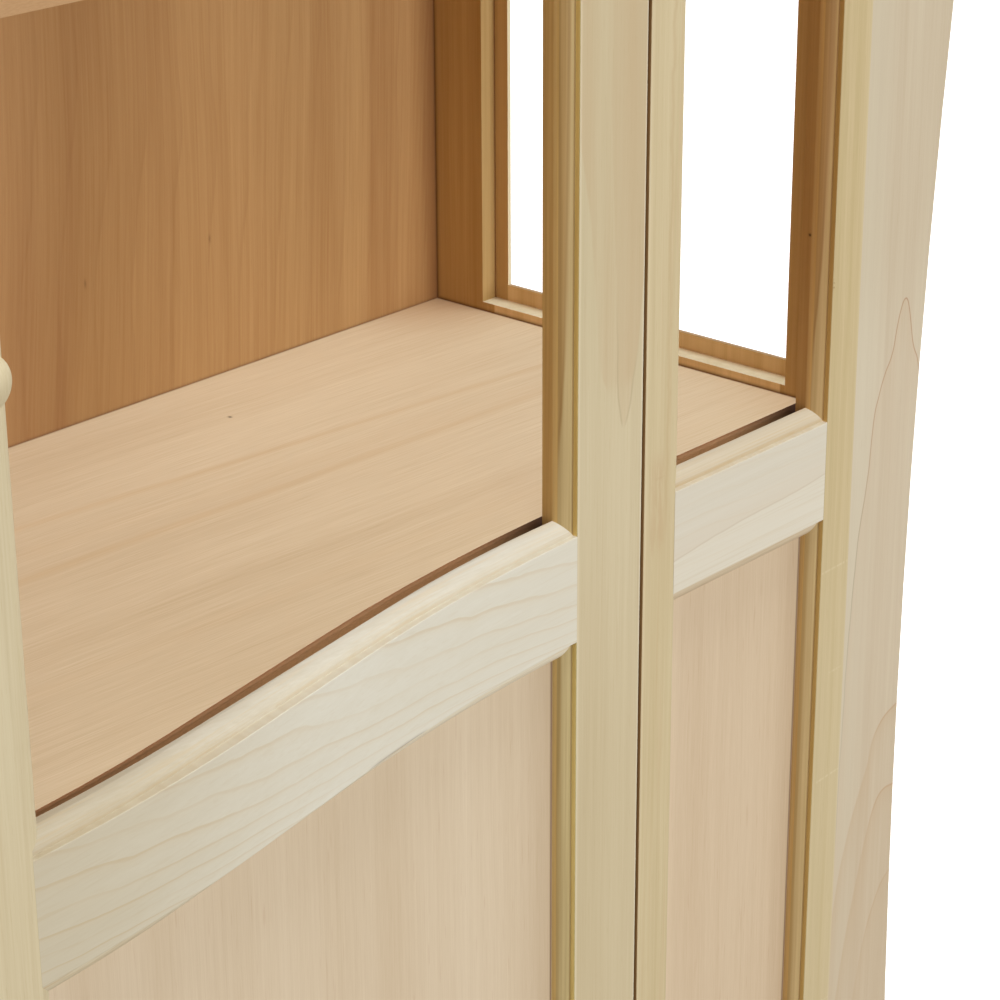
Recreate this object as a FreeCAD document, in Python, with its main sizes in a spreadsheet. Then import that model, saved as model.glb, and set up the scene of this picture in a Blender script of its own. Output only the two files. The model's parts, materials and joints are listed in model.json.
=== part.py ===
import FreeCAD, Part
import math
import os
import Sketcher

# A mizuya kitchen cabinet: a wide carcass with a deck at waist height, a fixed
# straight bay at each end, and a pair of tall frame-and-panel doors between the
# bays. The front of deck, doors and boards swells forward towards the middle in
# an arc - straight - arc line. Frame: +X right, +Y back, +Z up, origin on the
# floor under the middle of the cabinet. All sizes in millimetres.

doc = FreeCAD.newDocument("mizuya_cabinet")
V = FreeCAD.Vector
sheet = doc.addObject("Spreadsheet::Sheet", "dims")

SIZES = [
    # carcass
    ("half_inner", 804.0, "middle plane to the inner face of a side frame"),
    ("back_y", 224.0, "inner face of the back panels"),
    ("side_thick", 18.5, "side frame thickness"),
    ("side_back", 8.0, "side frame reach behind the back panel face"),
    ("deck_depth", 345.0, "back panel to the straight part of the deck's front edge"),
    ("plinth_height", 60.0, ""),
    ("plinth_thick", 20.0, ""),
    ("base_thick", 22.0, "bottom board"),
    ("deck_top", 850.0, "upper face of the deck"),
    ("deck_thick", 22.0, ""),
    ("head_under", 1772.0, "underside of the top board"),
    ("head_thick", 28.0, "top board"),
    ("nosing", 6.0, "bottom and top board reach in front of the frames"),
    ("back_thick", 5.5, "back panels"),
    # swelling front line: arc, straight, arc, tangent to each other
    ("bow_rone", 1426.6, "radius of the outer, hollow arc at the deck's edge"),
    ("bow_rtwo", 942.9, "radius of the middle, full arc at the deck's edge"),
    ("bow_sin", 0.175093, "sine of the greatest slope angle"),
    ("bow_cos", 0.984552, "cosine of the greatest slope angle"),
    ("bow_line", 147.6, "straight length between the arcs"),
    # the doors' faces and the back edge of their waist moulding swell by lines of their own
    ("face_rone", 1265.9, "the same five sizes for the face of the doors' rails"),
    ("face_rtwo", 1193.2, ""),
    ("face_sin", 0.185402, ""),
    ("face_cos", 0.982663, ""),
    ("face_line", 106.1, ""),
    ("land_rone", 961.6, "and for the back edge of the doors' waist moulding"),
    ("land_rtwo", 1145.0, ""),
    ("land_sin", 0.159572, ""),
    ("land_cos", 0.987186, ""),
    ("land_line", 188.6, ""),
    ("land_spare", 7.0, "land behind the ovolo before it is cut to that line"),
    ("rail_face", 9.0, "depth of the rails' raised face"),
    # front frames
    ("frame_gap", 2.1, "deck edge to the back of the front frames"),
    ("lip", 8.2, "frame thickness behind the moulding"),
    ("mould_depth", 11.1, "depth of the moulding, front to back"),
    ("mould_width", 11.2, "width of the moulding, with its land"),
    ("ovolo_width", 9.7, ""),
    ("ovolo_depth", 7.6, ""),
    ("ovolo_radius", 9.9, ""),
    ("arris", 0.5, "rounding of the sharp edges"),
    ("mitre_reach", 12.0, "how far a rail's mitred end reaches over the stile, a little over the moulding's width"),
    ("board_edge", 2.5, "rounding of the bottom and top board's edges"),
    ("board_side", 10.0, "bottom and top board reach outside the side frames"),
    ("rabbet_width", 9.5, "panel rabbet behind the moulding"),
    ("slot_depth", 12.0, "open rabbet along the top edge of a waist rail"),
    ("gap", 3.1, "gap between a door and its neighbour"),
    ("mid_gap", 1.5, "half of the gap between the doors"),
    ("door_clear", 3.0, "door to top and bottom board"),
    ("hinge_stile_in", 536.3, "inner face edge of the door's hinge stile"),
    ("hinge_stile_out", 599.8, "outer edge of the door's hinge stile"),
    ("bay_in", 602.9, "outer edge of the bay's inner stile"),
    ("bay_stile", 32.1, "front face width of the bay's inner stile"),
    ("bay_open", 803.5, "front face edge of the bay's outer stile"),
    ("bay_out", 836.4, "outer edge of the bay's outer stile"),
    ("meet_stile", 47.0, "inner face edge of the meeting stile"),
    ("rail_low", 185.0, "top of the bottom rail's front face"),
    ("rail_waist_low", 765.8, "bottom of the waist rail's front face"),
    ("rail_waist_high", 838.8, "top of the waist rail's front face"),
    ("rail_high", 1705.0, "bottom of the top rail's front face"),
    ("panel_play", 0.5, "play of a panel in its rabbet"),
    # end posts
    ("post_depth", 46.0, ""),
    ("post_waist", 909.3, "narrowest reach of the outer edge"),
    ("post_waist_z", 595.0, "height of the narrowest place"),
    ("post_low_flare", 24.2, "spread of the lower, hollow part up to post_turn_z"),
    ("post_turn_z", 1110.0, "height where the hollow turns upright again"),
    ("post_foot_flare", 20.0, ""),
    # side frames
    ("rear_stile", 46.9, ""),
    ("front_stile", 18.0, ""),
    ("rabbet_depth", 15.2, "side frame's stepped rabbet"),
    ("rear_step", 12.3, "width of the rabbet's shoulder at the rear stile"),
    ("front_step", 4.8, "the same at the front stile"),
    ("rail_step", 12.0, "the same at the rails"),
    ("sill_rise", 6.9, "sill rail above the deck"),
    ("sill_low", 780.0, "underside of the sill rail"),
    ("side_low", 150.0, "top of the side's bottom rail"),
    ("side_high", 1710.0, "underside of the side's top rail"),
    ("side_panel", 6.0, ""),
    # shelves
    ("shelf_thick", 18.0, ""),
    ("shelf_low_top", 460.0, ""),
    ("shelf_high_top", 1250.0, ""),
    ("shelf_depth", 338.0, ""),
    ("pin_radius", 2.5, ""),
    ("pin_head", 4.5, ""),
    # hinges
    ("leaf_thick", 1.1, ""),
    ("leaf_depth", 16.0, ""),
    ("leaf_height", 64.0, ""),
    ("knuckle", 3.2, "knuckle radius"),
    ("pivot_off", 3.5, "hinge axis in front of the frame faces"),
    ("pin_r", 1.5, "hinge pin radius"),
    ("pin_play", 0.05, ""),
    ("hinge_one", 230.0, "middle of the lowest hinge"),
    ("hinge_two", 1205.0, ""),
    ("hinge_three", 1640.0, ""),
    # knobs
    ("knob_x", 24.5, ""),
    ("knob_z", 1100.0, ""),
    ("knob_radius", 14.0, ""),
    ("knob_reach", 28.0, ""),
    ("knob_seat", 0.85, "spot face that levels the bowed stile under the knob"),
    ("tenon_radius", 4.0, ""),
    ("tenon_length", 12.0, ""),
    # catches
    ("catch_x", 22.0, ""),
    ("catch_wide", 28.0, ""),
    ("catch_high", 14.0, ""),
    ("catch_deep", 14.0, ""),
    ("plate_thick", 1.2, ""),
]


class Dim:
    """A number that also carries the sheet expression it comes from."""

    def __init__(self, value, text):
        self.v = float(value)
        self.t = text

    @staticmethod
    def of(other):
        if isinstance(other, Dim):
            return other
        return Dim(other, repr(float(other)))

    def __add__(self, o):
        o = Dim.of(o)
        return Dim(self.v + o.v, "(%s + %s)" % (self.t, o.t))

    def __radd__(self, o):
        return Dim.of(o) + self

    def __sub__(self, o):
        o = Dim.of(o)
        return Dim(self.v - o.v, "(%s - %s)" % (self.t, o.t))

    def __rsub__(self, o):
        return Dim.of(o) - self

    def __mul__(self, o):
        o = Dim.of(o)
        return Dim(self.v * o.v, "(%s * %s)" % (self.t, o.t))

    def __rmul__(self, o):
        return Dim.of(o) * self

    def __truediv__(self, o):
        o = Dim.of(o)
        return Dim(self.v / o.v, "(%s / %s)" % (self.t, o.t))

    def __neg__(self):
        return Dim(0, "0") - self


class Sizes:
    pass


D = Sizes()
for row, (alias, value, note) in enumerate(SIZES, start=1):
    sheet.set("A%d" % row, alias)
    sheet.set("B%d" % row, repr(float(value)))
    sheet.setAlias("B%d" % row, alias)
    if note:
        sheet.set("C%d" % row, note)
    setattr(D, alias, Dim(value, "dims." + alias))
doc.recompute()

# ---------------------------------------------------------------- helpers

FINAL = []          # the objects that become parts, in order


def finish(obj, label):
    obj.Label = label
    FINAL.append(obj)
    return obj


def place(obj, x, y, z):
    obj.setExpression("Placement.Base.x", Dim.of(x).t)
    obj.setExpression("Placement.Base.y", Dim.of(y).t)
    obj.setExpression("Placement.Base.z", Dim.of(z).t)


def box(name, x0, x1, y0, y1, z0, z1):
    """A square-edged board between two corners."""
    b = doc.addObject("Part::Box", name)
    x0, x1, y0, y1, z0, z1 = [Dim.of(k) for k in (x0, x1, y0, y1, z0, z1)]
    b.setExpression("Length", (x1 - x0).t)
    b.setExpression("Width", (y1 - y0).t)
    b.setExpression("Height", (z1 - z0).t)
    place(b, x0, y0, z0)
    return b


def cylinder(name, radius, height, x, y, z, axis=(0, 0, 1)):
    c = doc.addObject("Part::Cylinder", name)
    c.setExpression("Radius", Dim.of(radius).t)
    c.setExpression("Height", Dim.of(height).t)
    c.Placement = FreeCAD.Placement(V(0, 0, 0), FreeCAD.Rotation(V(0, 0, 1), V(*axis)))
    place(c, x, y, z)
    return c


def cut(name, base, *tools):
    for k, tool in enumerate(tools):
        c = doc.addObject("Part::Cut", "%s_cut%d" % (name, k))
        c.Base = base
        c.Tool = tool
        c.Refine = True
        base = c
    return base


def fuse(name, *shapes):
    f = doc.addObject("Part::MultiFuse", name)
    f.Shapes = list(shapes)
    f.Refine = True
    return f


def compound(name, *shapes):
    c = doc.addObject("Part::Compound", name)
    c.Links = list(shapes)
    return c


def wedge(name, edge, side, y0, y1, low0, high0, low1, high1):
    """A prism from y0 to y1 that runs from the stile's face edge towards the
    opening (side +1 or -1): it spans low0 .. high0 at the edge and low1 .. high1
    at mitre_reach from it."""
    w = doc.addObject("Part::Wedge", name)
    near, far = Dim.of(edge), Dim.of(edge) + D.mitre_reach * side
    # turned a quarter: the wedge's own Y lies along +X and its own X along -Y
    first, last = ((near, low0, high0), (far, low1, high1)) if side > 0 else ((far, low1, high1), (near, low0, high0))
    for prop, value in (("Ymin", first[0]), ("Zmin", first[1]), ("Zmax", first[2]),
                        ("Ymax", last[0]), ("Z2min", last[1]), ("Z2max", last[2]),
                        ("Xmin", -Dim.of(y1)), ("X2min", -Dim.of(y1)),
                        ("Xmax", -Dim.of(y0)), ("X2max", -Dim.of(y0))):
        value = Dim.of(value)
        setattr(w, prop, value.v)
        w.setExpression(prop, value.t)
    w.Placement = FreeCAD.Placement(V(0, 0, 0), FreeCAD.Rotation(V(0, 0, 1), -90))
    return w


def notches(name, edge, side, split, bottom, top):
    """What a stile gives up in front of the plane y = split, where the rails'
    faces and their mitred mouldings run in to its face edge."""
    out = []
    for nm, low, high, ml, mh, rl, rh in RAILS:
        low0 = low1 = Dim.of(bottom) - 5
        high0 = high1 = Dim.of(top) + 5
        if ml:
            low0, low1 = low, low - D.mitre_reach
        if mh:
            high0, high1 = high, high + D.mitre_reach
        out.append(wedge("%s_notch_%s" % (name, nm), edge, side, face_y - 90, split, low0, high0, low1, high1))
    return out


def rail_ends(name, edge, side, split, low, high, ml, mh):
    """What a rail gives up at one end: the corners outside its mitres, and all
    behind the plane y = split as far as the stile's inner edge."""
    inner = Dim.of(edge) + D.mould_width * side
    outer = Dim.of(edge) - side * 60
    x0, x1 = (outer, inner) if side > 0 else (inner, outer)
    out = [box(name + "_behind", x0, x1, split, Dim.of(split) + 90, Dim.of(low) - 60, Dim.of(high) + 60)]
    if mh:
        out.append(wedge(name + "_over", edge, side, face_y - 90, Dim.of(split) + 1, high, high + 40,
                         high + D.mitre_reach, high + 40))
    if ml:
        out.append(wedge(name + "_under", edge, side, face_y - 90, Dim.of(split) + 1, low - 40, low,
                         low - 40, low - D.mitre_reach))
    return out


def mirror(source, label):
    m = doc.addObject("Part::Mirroring", label + "_mirror")
    m.Source = source
    m.Normal = V(1, 0, 0)
    m.Base = V(0, 0, 0)
    return finish(m, label)


def origin_plane(body, role):
    return [f for f in body.Origin.OriginFeatures if f.Role == role][0]


def sketch(body, name, role, steps, closed=True, offset=None):
    """A chain of lines and arcs. steps: (x, y) for a line that starts there, or
    (x, y, radius, turn) for an arc that starts there, turn +1 for an arc whose
    centre lies to the left of the path and -1 for one to the right. Every vertex
    and every radius is bound to the sheet."""
    sk = body.newObject("Sketcher::SketchObject", name)
    sk.AttachmentSupport = (origin_plane(body, role), [""])
    sk.MapMode = "FlatFace"
    if offset is not None:
        sk.setExpression("AttachmentOffset.Base.z", Dim.of(offset).t)
    n = len(steps)
    pts = [(Dim.of(s[0]), Dim.of(s[1])) for s in steps]
    count = n if closed else n - 1
    starts, ends = [], []
    for k in range(count):
        p, q = pts[k], pts[(k + 1) % n]
        a, b = V(p[0].v, p[1].v, 0), V(q[0].v, q[1].v, 0)
        if len(steps[k]) == 2:
            g = sk.addGeometry(Part.LineSegment(a, b))
            starts.append((g, 1))
            ends.append((g, 2))
        else:
            r, turn = Dim.of(steps[k][2]), steps[k][3]
            chord = b - a
            mid = (a + b) * 0.5
            half = chord.Length / 2.0
            rise = math.sqrt(max(r.v * r.v - half * half, 0.0))
            left = V(-chord.y, chord.x, 0)
            left.normalize()
            centre = mid + left * (rise * turn)
            s, e = (a, b) if turn > 0 else (b, a)
            a0 = math.atan2(s.y - centre.y, s.x - centre.x)
            a1 = math.atan2(e.y - centre.y, e.x - centre.x)
            while a1 <= a0:
                a1 += 2 * math.pi
            g = sk.addGeometry(Part.ArcOfCircle(Part.Circle(centre, V(0, 0, 1), r.v), a0, a1))
            starts.append((g, 1 if turn > 0 else 2))
            ends.append((g, 2 if turn > 0 else 1))
            i = sk.addConstraint(Sketcher.Constraint("Radius", g, r.v))
            sk.setExpression("Constraints[%d]" % i, r.t)
    for k in range(count):
        g, pos = starts[k]
        for kind, d in (("DistanceX", pts[k][0]), ("DistanceY", pts[k][1])):
            i = sk.addConstraint(Sketcher.Constraint(kind, -1, 1, g, pos, d.v))
            sk.setExpression("Constraints[%d]" % i, d.t)
        if closed or k + 1 < count:
            g2, pos2 = starts[(k + 1) % count]
            sk.addConstraint(Sketcher.Constraint("Coincident", ends[k][0], ends[k][1], g2, pos2))
    if not closed:
        g, pos = ends[-1]
        for kind, d in (("DistanceX", pts[-1][0]), ("DistanceY", pts[-1][1])):
            i = sk.addConstraint(Sketcher.Constraint(kind, -1, 1, g, pos, d.v))
            sk.setExpression("Constraints[%d]" % i, d.t)
    return sk


def corner(x, y, dx0, dy0, dx1, dy1, turn, r=None):
    """A square corner with a small rounding: the path comes in along (dx0, dy0)
    and leaves along (dx1, dy1)."""
    r = D.arris if r is None else r
    return [(Dim.of(x) - r * dx0, Dim.of(y) - r * dy0, r, turn),
            (Dim.of(x) + r * dx1, Dim.of(y) + r * dy1)]


def pad(name, role, steps, start, length, reverse=False):
    """A body with one sketch and one pad. start is the sketch plane's offset
    along its normal."""
    body = doc.addObject("PartDesign::Body", name)
    sk = sketch(body, name + "_sketch", role, steps, offset=start)
    p = body.newObject("PartDesign::Pad", name + "_pad")
    p.Profile = sk
    p.setExpression("Length", Dim.of(length).t)
    p.Reversed = reverse
    body.Tip = p
    return body


def board(name, label, x0, x1, y0, y1, z0, z1):
    """A board padded upwards from its plan."""
    steps = []
    steps += corner(x1, y0, 1, 0, 0, 1, 1)
    steps += corner(x1, y1, 0, 1, -1, 0, 1)
    steps += corner(x0, y1, -1, 0, 0, -1, 1)
    steps += corner(x0, y0, 0, -1, 1, 0, 1)
    return finish(pad(name, "XY_Plane", steps, z0, Dim.of(z1) - Dim.of(z0)), label)


# ---------------------------------------------------------------- main lines

deck_y = D.back_y - D.deck_depth            # straight part of the deck's edge
frame_back = deck_y - D.frame_gap           # back of the front frames
lip_y = frame_back - D.lip                  # moulding's back edge, panel face
face_y = lip_y - D.mould_depth              # front face of the front frames
bow_run = (D.bow_rone + D.bow_rtwo) * D.bow_sin + D.bow_line * D.bow_cos
bow_rise = (D.bow_rone + D.bow_rtwo) * (1 - D.bow_cos) + D.bow_line * D.bow_sin
base_top = D.plinth_height + D.base_thick
head_top = D.head_under + D.head_thick
door_low = base_top + D.door_clear
door_high = D.head_under - D.door_clear


def crest_y(off):
    """y of the front line in the middle, at an offset in front of the deck."""
    return deck_y - bow_rise - off


def bow_half(off):
    """The right half of the front line, from the middle out to the straight
    part, at an offset in front of the deck's edge."""
    off = Dim.of(off)
    r2 = D.bow_rtwo + off
    r1 = D.bow_rone - off
    c2 = deck_y - bow_rise + D.bow_rtwo
    c1 = deck_y - D.bow_rone
    return [
        (Dim(0, "0"), c2 - r2, r2, 1),
        (r2 * D.bow_sin, c2 - r2 * D.bow_cos),
        (bow_run - r1 * D.bow_sin, c1 + r1 * D.bow_cos, r1, -1),
        (bow_run, deck_y - off),
    ]


def swell_half(base, rone, rtwo, sine, cosine, line):
    """Another swelling line's right half, by its own radii, angle and length,
    from the middle out to where it meets the straight level base."""
    run = (rone + rtwo) * sine + line * cosine
    rise = (rone + rtwo) * (1 - cosine) + line * sine
    c2 = base - rise + rtwo
    return [
        (Dim(0, "0"), base - rise, rtwo, 1),
        (rtwo * sine, c2 - rtwo * cosine),
        (run - rone * sine, base - rone + rone * cosine, rone, -1),
        (run, base),
    ]


def bow_full(off, left_end, right_end):
    """The whole front line from the left end to the right end."""
    off = Dim.of(off)
    h = bow_half(off)
    r2, r1 = h[0][2], h[2][2]
    return [
        (left_end, deck_y - off),
        (-bow_run, deck_y - off, r1, -1),
        (-h[2][0], h[2][1]),
        (-h[1][0], h[1][1], r2, 1),
        (h[1][0], h[1][1]),
        (h[2][0], h[2][1], r1, -1),
        (bow_run, deck_y - off),
        (right_end, deck_y - off),
    ]


def bowed_board(name, label, off, half_width, back, z0, thick, waist=None, turn_y=None):
    """A board whose front follows the swelling line. With a waist, the board is
    wide over the end posts only, and a quarter-round cove on either side brings
    it in to the side frames behind them. Such a board has rounded edges."""
    half_width = Dim.of(half_width)
    steps = bow_full(off, -half_width, half_width)
    if waist is None:
        steps += [(half_width, back), (-half_width, back)]
        return finish(pad(name, "XY_Plane", steps, z0, thick), label)
    cove = half_width - waist
    steps += [(half_width, turn_y, cove, -1), (waist, turn_y + cove), (waist, back),
              (-waist, back), (-waist, turn_y + cove, cove, -1), (-half_width, turn_y)]
    body = pad(name, "XY_Plane", steps, z0, thick)
    doc.recompute()
    solid = body.Tip
    flat = ["Face%d" % (k + 1) for k, f in enumerate(solid.Shape.Faces)
            if abs(abs(f.normalAt(0, 0).z) - 1) < 1e-6]
    soft = body.newObject("PartDesign::Fillet", name + "_edges")
    soft.Base = (solid, flat)
    soft.setExpression("Radius", D.board_edge.t)
    body.Tip = soft
    return finish(body, label)


def mould(x, y, sx, sy):
    """The frame moulding in section, from the front face edge (x, y) to the
    moulding's inner edge: a small step, a land and an ovolo. sx is the direction
    towards the opening, sy the direction towards the back."""
    x, y = Dim.of(x), Dim.of(y)
    step = D.mould_depth - D.ovolo_depth
    land = D.mould_width - D.ovolo_width
    return [
        (x, y + sy * step),
        (x + sx * land, y + sy * step),
        (x + sx * D.mould_width, y + sy * D.mould_depth),
    ]


# ---------------------------------------------------------------- carcass

wing = D.post_waist + D.post_foot_flare + 8
# end post outline: see the end posts below
low_dz = D.post_turn_z - D.post_waist_z
low_r = (low_dz * low_dz) / (2 * D.post_low_flare) + D.post_low_flare / 2
head_r = (D.head_under - D.post_turn_z) * low_r / low_dz
head_flare = D.post_low_flare + head_r * D.post_low_flare / low_r
wing_top = D.post_waist + head_flare + 8
front_off = D.frame_gap + D.lip + D.mould_depth     # deck's edge to frame faces
back_plane = D.back_y + D.side_back

# plinth: a low base set back under the bottom board
plinth_set = 30.0
pl = bow_full(front_off - plinth_set, -(D.half_inner + 90), D.half_inner + 90)
pr = bow_full(front_off - plinth_set - D.plinth_thick, -(D.half_inner + 90), D.half_inner + 90)
back_run = []
for k in range(len(pr) - 1, -1, -1):
    p = pr[k]
    q = pr[k - 1] if k > 0 else None
    if q is not None and len(q) == 4:
        back_run.append((p[0], p[1], q[2], -q[3]))
    else:
        back_run.append((p[0], p[1]))
finish(pad("plinth_front", "XY_Plane", pl + back_run, 0, D.plinth_height), "plinth_front")
plinth_y = face_y + plinth_set + D.plinth_thick
board("plinth_back", "plinth_back", -(D.half_inner - 10), D.half_inner - 10,
      back_plane - 30 - D.plinth_thick, back_plane - 30, 0, D.plinth_height)
r = board("plinth_side_right", "plinth_side_right", D.half_inner - 10, D.half_inner + 10,
          plinth_y, back_plane - 30, 0, D.plinth_height)
mirror(r, "plinth_side_left")

# bottom and top board, with rounded front corners over the end posts
board_waist = D.half_inner + D.side_thick + D.board_side
board_turn = deck_y - front_off + D.post_depth + 8
bowed_board("bottom_board", "bottom_board", front_off + D.nosing, wing,
            back_plane, D.plinth_height, D.base_thick, board_waist, board_turn)
bowed_board("top_board", "top_board", front_off + D.nosing, wing_top,
            back_plane, D.head_under, D.head_thick, board_waist, board_turn)

# deck between the side frames
bowed_board("deck", "deck", 0, D.half_inner, D.back_y, D.deck_top - D.deck_thick, D.deck_thick)

# back panels, let in between the side frames, meeting behind the deck
split = D.deck_top - D.deck_thick / 2
finish(box("back_panel_lower", -D.half_inner, D.half_inner, D.back_y, D.back_y + D.back_thick,
           base_top, split - 0.3), "back_panel_lower")
finish(box("back_panel_upper", -D.half_inner, D.half_inner, D.back_y, D.back_y + D.back_thick,
           split, D.head_under), "back_panel_upper")

# ---------------------------------------------------------------- side frames

x_in = D.half_inner
x_out = D.half_inner + D.side_thick
x_rab = D.half_inner + D.rabbet_depth
rear_y = D.back_y - D.rear_stile
front_edge = frame_back + D.front_stile

r = finish(pad("side_rear_stile_right", "XY_Plane", [
    (x_in, rear_y), (x_rab, rear_y), (x_rab, rear_y - D.rear_step),
    (x_out, rear_y - D.rear_step), (x_out, back_plane), (x_in, back_plane),
], base_top, D.head_under - base_top), "side_rear_stile_right")
mirror(r, "side_rear_stile_left")

r = finish(pad("side_front_stile_right", "XY_Plane", [
    (x_in, frame_back), (x_out, frame_back), (x_out, front_edge + D.front_step),
    (x_rab, front_edge + D.front_step), (x_rab, front_edge), (x_in, front_edge),
], base_top, D.head_under - base_top), "side_front_stile_right")
mirror(r, "side_front_stile_left")


def side_rail(name, z0, z1, step_low, step_high):
    """A rail of the side frame: the body between the stiles, and its thin outer
    shoulder that runs on above and below."""
    inner = box(name + "_body", x_in, x_rab, front_edge, rear_y, z0, z1)
    outer = box(name + "_shoulder", x_rab, x_out, front_edge + D.front_step, rear_y - D.rear_step,
                Dim.of(z0) - step_low, Dim.of(z1) + step_high)
    return fuse(name, inner, outer)


for nm, z0, z1, lo, hi in (
        ("side_bottom_rail", base_top, D.side_low, 0, D.rail_step),
        ("side_sill_rail", D.sill_low, D.deck_top + D.sill_rise, D.rail_step, D.rail_step),
        ("side_top_rail", D.side_high, D.head_under, D.rail_step, 0)):
    r = finish(side_rail(nm + "_right", z0, z1, lo, hi), nm + "_right")
    mirror(r, nm + "_left")

r = finish(box("side_panel_right", x_rab - D.side_panel, x_rab, front_edge + D.panel_play,
               rear_y - D.panel_play, D.side_low + D.panel_play, D.sill_low - D.panel_play),
           "side_panel_right")
mirror(r, "side_panel_left")

# ---------------------------------------------------------------- end posts
# A post outside each fixed bay. In front view its outer edge is hollow: it is
# narrowest a little below the deck and spreads to the foot and, further, to the
# top, where it runs out upright. It is rebated behind for the bay's outer stile.

post_z0, post_z1 = base_top, D.head_under
foot_dz = D.post_waist_z - post_z0
foot_r = (foot_dz * foot_dz) / (2 * D.post_foot_flare) + D.post_foot_flare / 2
steps = [
    (x_out, post_z0),
    (D.post_waist + D.post_foot_flare, post_z0, foot_r, -1),
    (D.post_waist, D.post_waist_z, low_r, -1),
    (D.post_waist + D.post_low_flare, D.post_turn_z, head_r, 1),
    (D.post_waist + head_flare, post_z1),
    (x_out, post_z1),
]
# the sketch lies in the XZ plane, whose normal is -Y
post = pad("end_post_blank", "XZ_Plane", steps, -face_y - D.post_depth, D.post_depth)
rebate = box("end_post_rebate", x_out - 1, D.bay_out, face_y - 1, frame_back, post_z0 - 1, post_z1 + 1)
r = finish(cut("end_post_right", post, rebate), "end_post_right")
mirror(r, "end_post_left")

# ---------------------------------------------------------------- fixed bays

# name, lower and upper face edge, moulded below and above, rabbet or slot there
RAILS = (
    ("bottom_rail", None, D.rail_low, False, True, None, D.rabbet_width),
    ("waist_rail", D.rail_waist_low, D.rail_waist_high, True, True, D.rabbet_width, D.slot_depth),
    ("top_rail", D.rail_high, None, True, False, D.slot_depth, None),
)

stile_z0, stile_len = base_top, D.head_under - base_top
bay_face = D.bay_in + D.bay_stile

# inner stile, moulded on its outer side
steps = []
steps += corner(D.bay_in, face_y, 0, -1, 1, 0, 1)
steps += corner(bay_face, face_y, 1, 0, 0, 1, 1)
m = mould(bay_face, face_y, 1, 1)
steps += [m[0], (m[1][0], m[1][1], D.ovolo_radius, 1), m[2]]
steps += [(m[2][0], frame_back), (D.bay_in, frame_back)]
bay_inner_blank = pad("bay_inner_stile_blank", "XY_Plane", steps, stile_z0, stile_len)

# outer stile, moulded on its inner side
steps = [(D.bay_out, face_y), (D.bay_out, frame_back), (D.bay_open - D.mould_width, frame_back)]
m = mould(D.bay_open, face_y, -1, 1)
steps += [(m[2][0], m[2][1], D.ovolo_radius, 1), m[1], m[0]]
steps += corner(D.bay_open, face_y, 0, -1, 1, 0, 1)
bay_outer_blank = pad("bay_outer_stile_blank", "XY_Plane", steps, stile_z0, stile_len)

# panel rabbets: from the back to the moulding, between bottom and waist rail
rab_z0 = D.rail_low + D.mould_width - D.rabbet_width
rab_z1 = D.rail_waist_low - D.mould_width + D.rabbet_width
bay_x0 = bay_face + D.mould_width - D.rabbet_width
bay_x1 = D.bay_open - D.mould_width + D.rabbet_width
rab_tool = box("bay_inner_rabbet", bay_x0, bay_face + D.mould_width + 1, lip_y, frame_back + 1, rab_z0, rab_z1)
r = finish(cut("bay_inner_stile_right", bay_inner_blank, rab_tool,
               *notches("bay_inner", bay_face, 1, lip_y, base_top, D.head_under)), "bay_inner_stile_right")
mirror(r, "bay_inner_stile_left")
rab_tool = box("bay_outer_rabbet", D.bay_open - D.mould_width - 1, bay_x1, lip_y, frame_back + 1, rab_z0, rab_z1)
r = finish(cut("bay_outer_stile_right", bay_outer_blank, rab_tool,
               *notches("bay_outer", D.bay_open, -1, lip_y, base_top, D.head_under)), "bay_outer_stile_right")
mirror(r, "bay_outer_stile_left")


def rail_section(y, low, high, low_mould, high_mould, low_rabbet, high_rabbet, spare=None):
    """Section of a rail in the YZ plane, counter-clockwise seen from +X, its
    front face at y, with a moulding and a rabbet on either edge. With a spare
    it is the section of a rail whose face is a body of its own: it starts at
    the mouldings' step, and has that much land behind a slotted moulding."""
    y, low, high = Dim.of(y), Dim.of(low), Dim.of(high)
    back = y + D.mould_depth + D.lip
    lip = y + D.mould_depth
    out = []
    if low_mould:
        m = mould(low, y, -1, 1)       # x of mould() is height here
        if spare is None:
            out += corner_yz(y, low, 0, -1, 1, 0)
            out.append((m[0][1], m[0][0]))
        out += [(m[1][1], m[1][0], D.ovolo_radius, 1), (m[2][1], m[2][0])]
        if low_rabbet is not None:
            edge = m[2][0] + low_rabbet
            out += [(lip, edge), (back, edge)]
        else:
            out += [(back, m[2][0])]
    else:
        front = y if spare is None else y + D.mould_depth - D.ovolo_depth
        out += [(front, low), (back, low)]
    if high_mould:
        m = mould(high, y, 1, 1)
        if high_rabbet is not None:
            edge = m[2][0] - high_rabbet
            if spare:
                out += [(back, edge), (lip + spare, edge), (lip + spare, m[2][0])]
            else:
                out += [(back, edge), (lip, edge)]
        else:
            out += [(back, m[2][0])]
        out += [(m[2][1], m[2][0], D.ovolo_radius, 1), (m[1][1], m[1][0])]
        if spare is None:
            out.append((m[0][1], m[0][0]))
            out += corner_yz(y, high, -1, 0, 0, -1)
    else:
        front = y if spare is None else y + D.mould_depth - D.ovolo_depth
        out += [(back, high), (front, high)]
    return out


def face_section(y, low, high, low_mould, high_mould):
    """Section of a rail's raised face, rounded where a moulding follows."""
    y, low, high = Dim.of(y), Dim.of(low), Dim.of(high)
    out = corner_yz(y, low, 0, -1, 1, 0) if low_mould else [(y, low)]
    out += [(y + D.rail_face, low), (y + D.rail_face, high)]
    out += corner_yz(y, high, -1, 0, 0, -1) if high_mould else [(y, high)]
    return out


def corner_yz(y, z, dy0, dz0, dy1, dz1):
    r = D.arris
    return [(Dim.of(y) - r * dy0, Dim.of(z) - r * dz0, r, 1),
            (Dim.of(y) + r * dy1, Dim.of(z) + r * dz1)]


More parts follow.
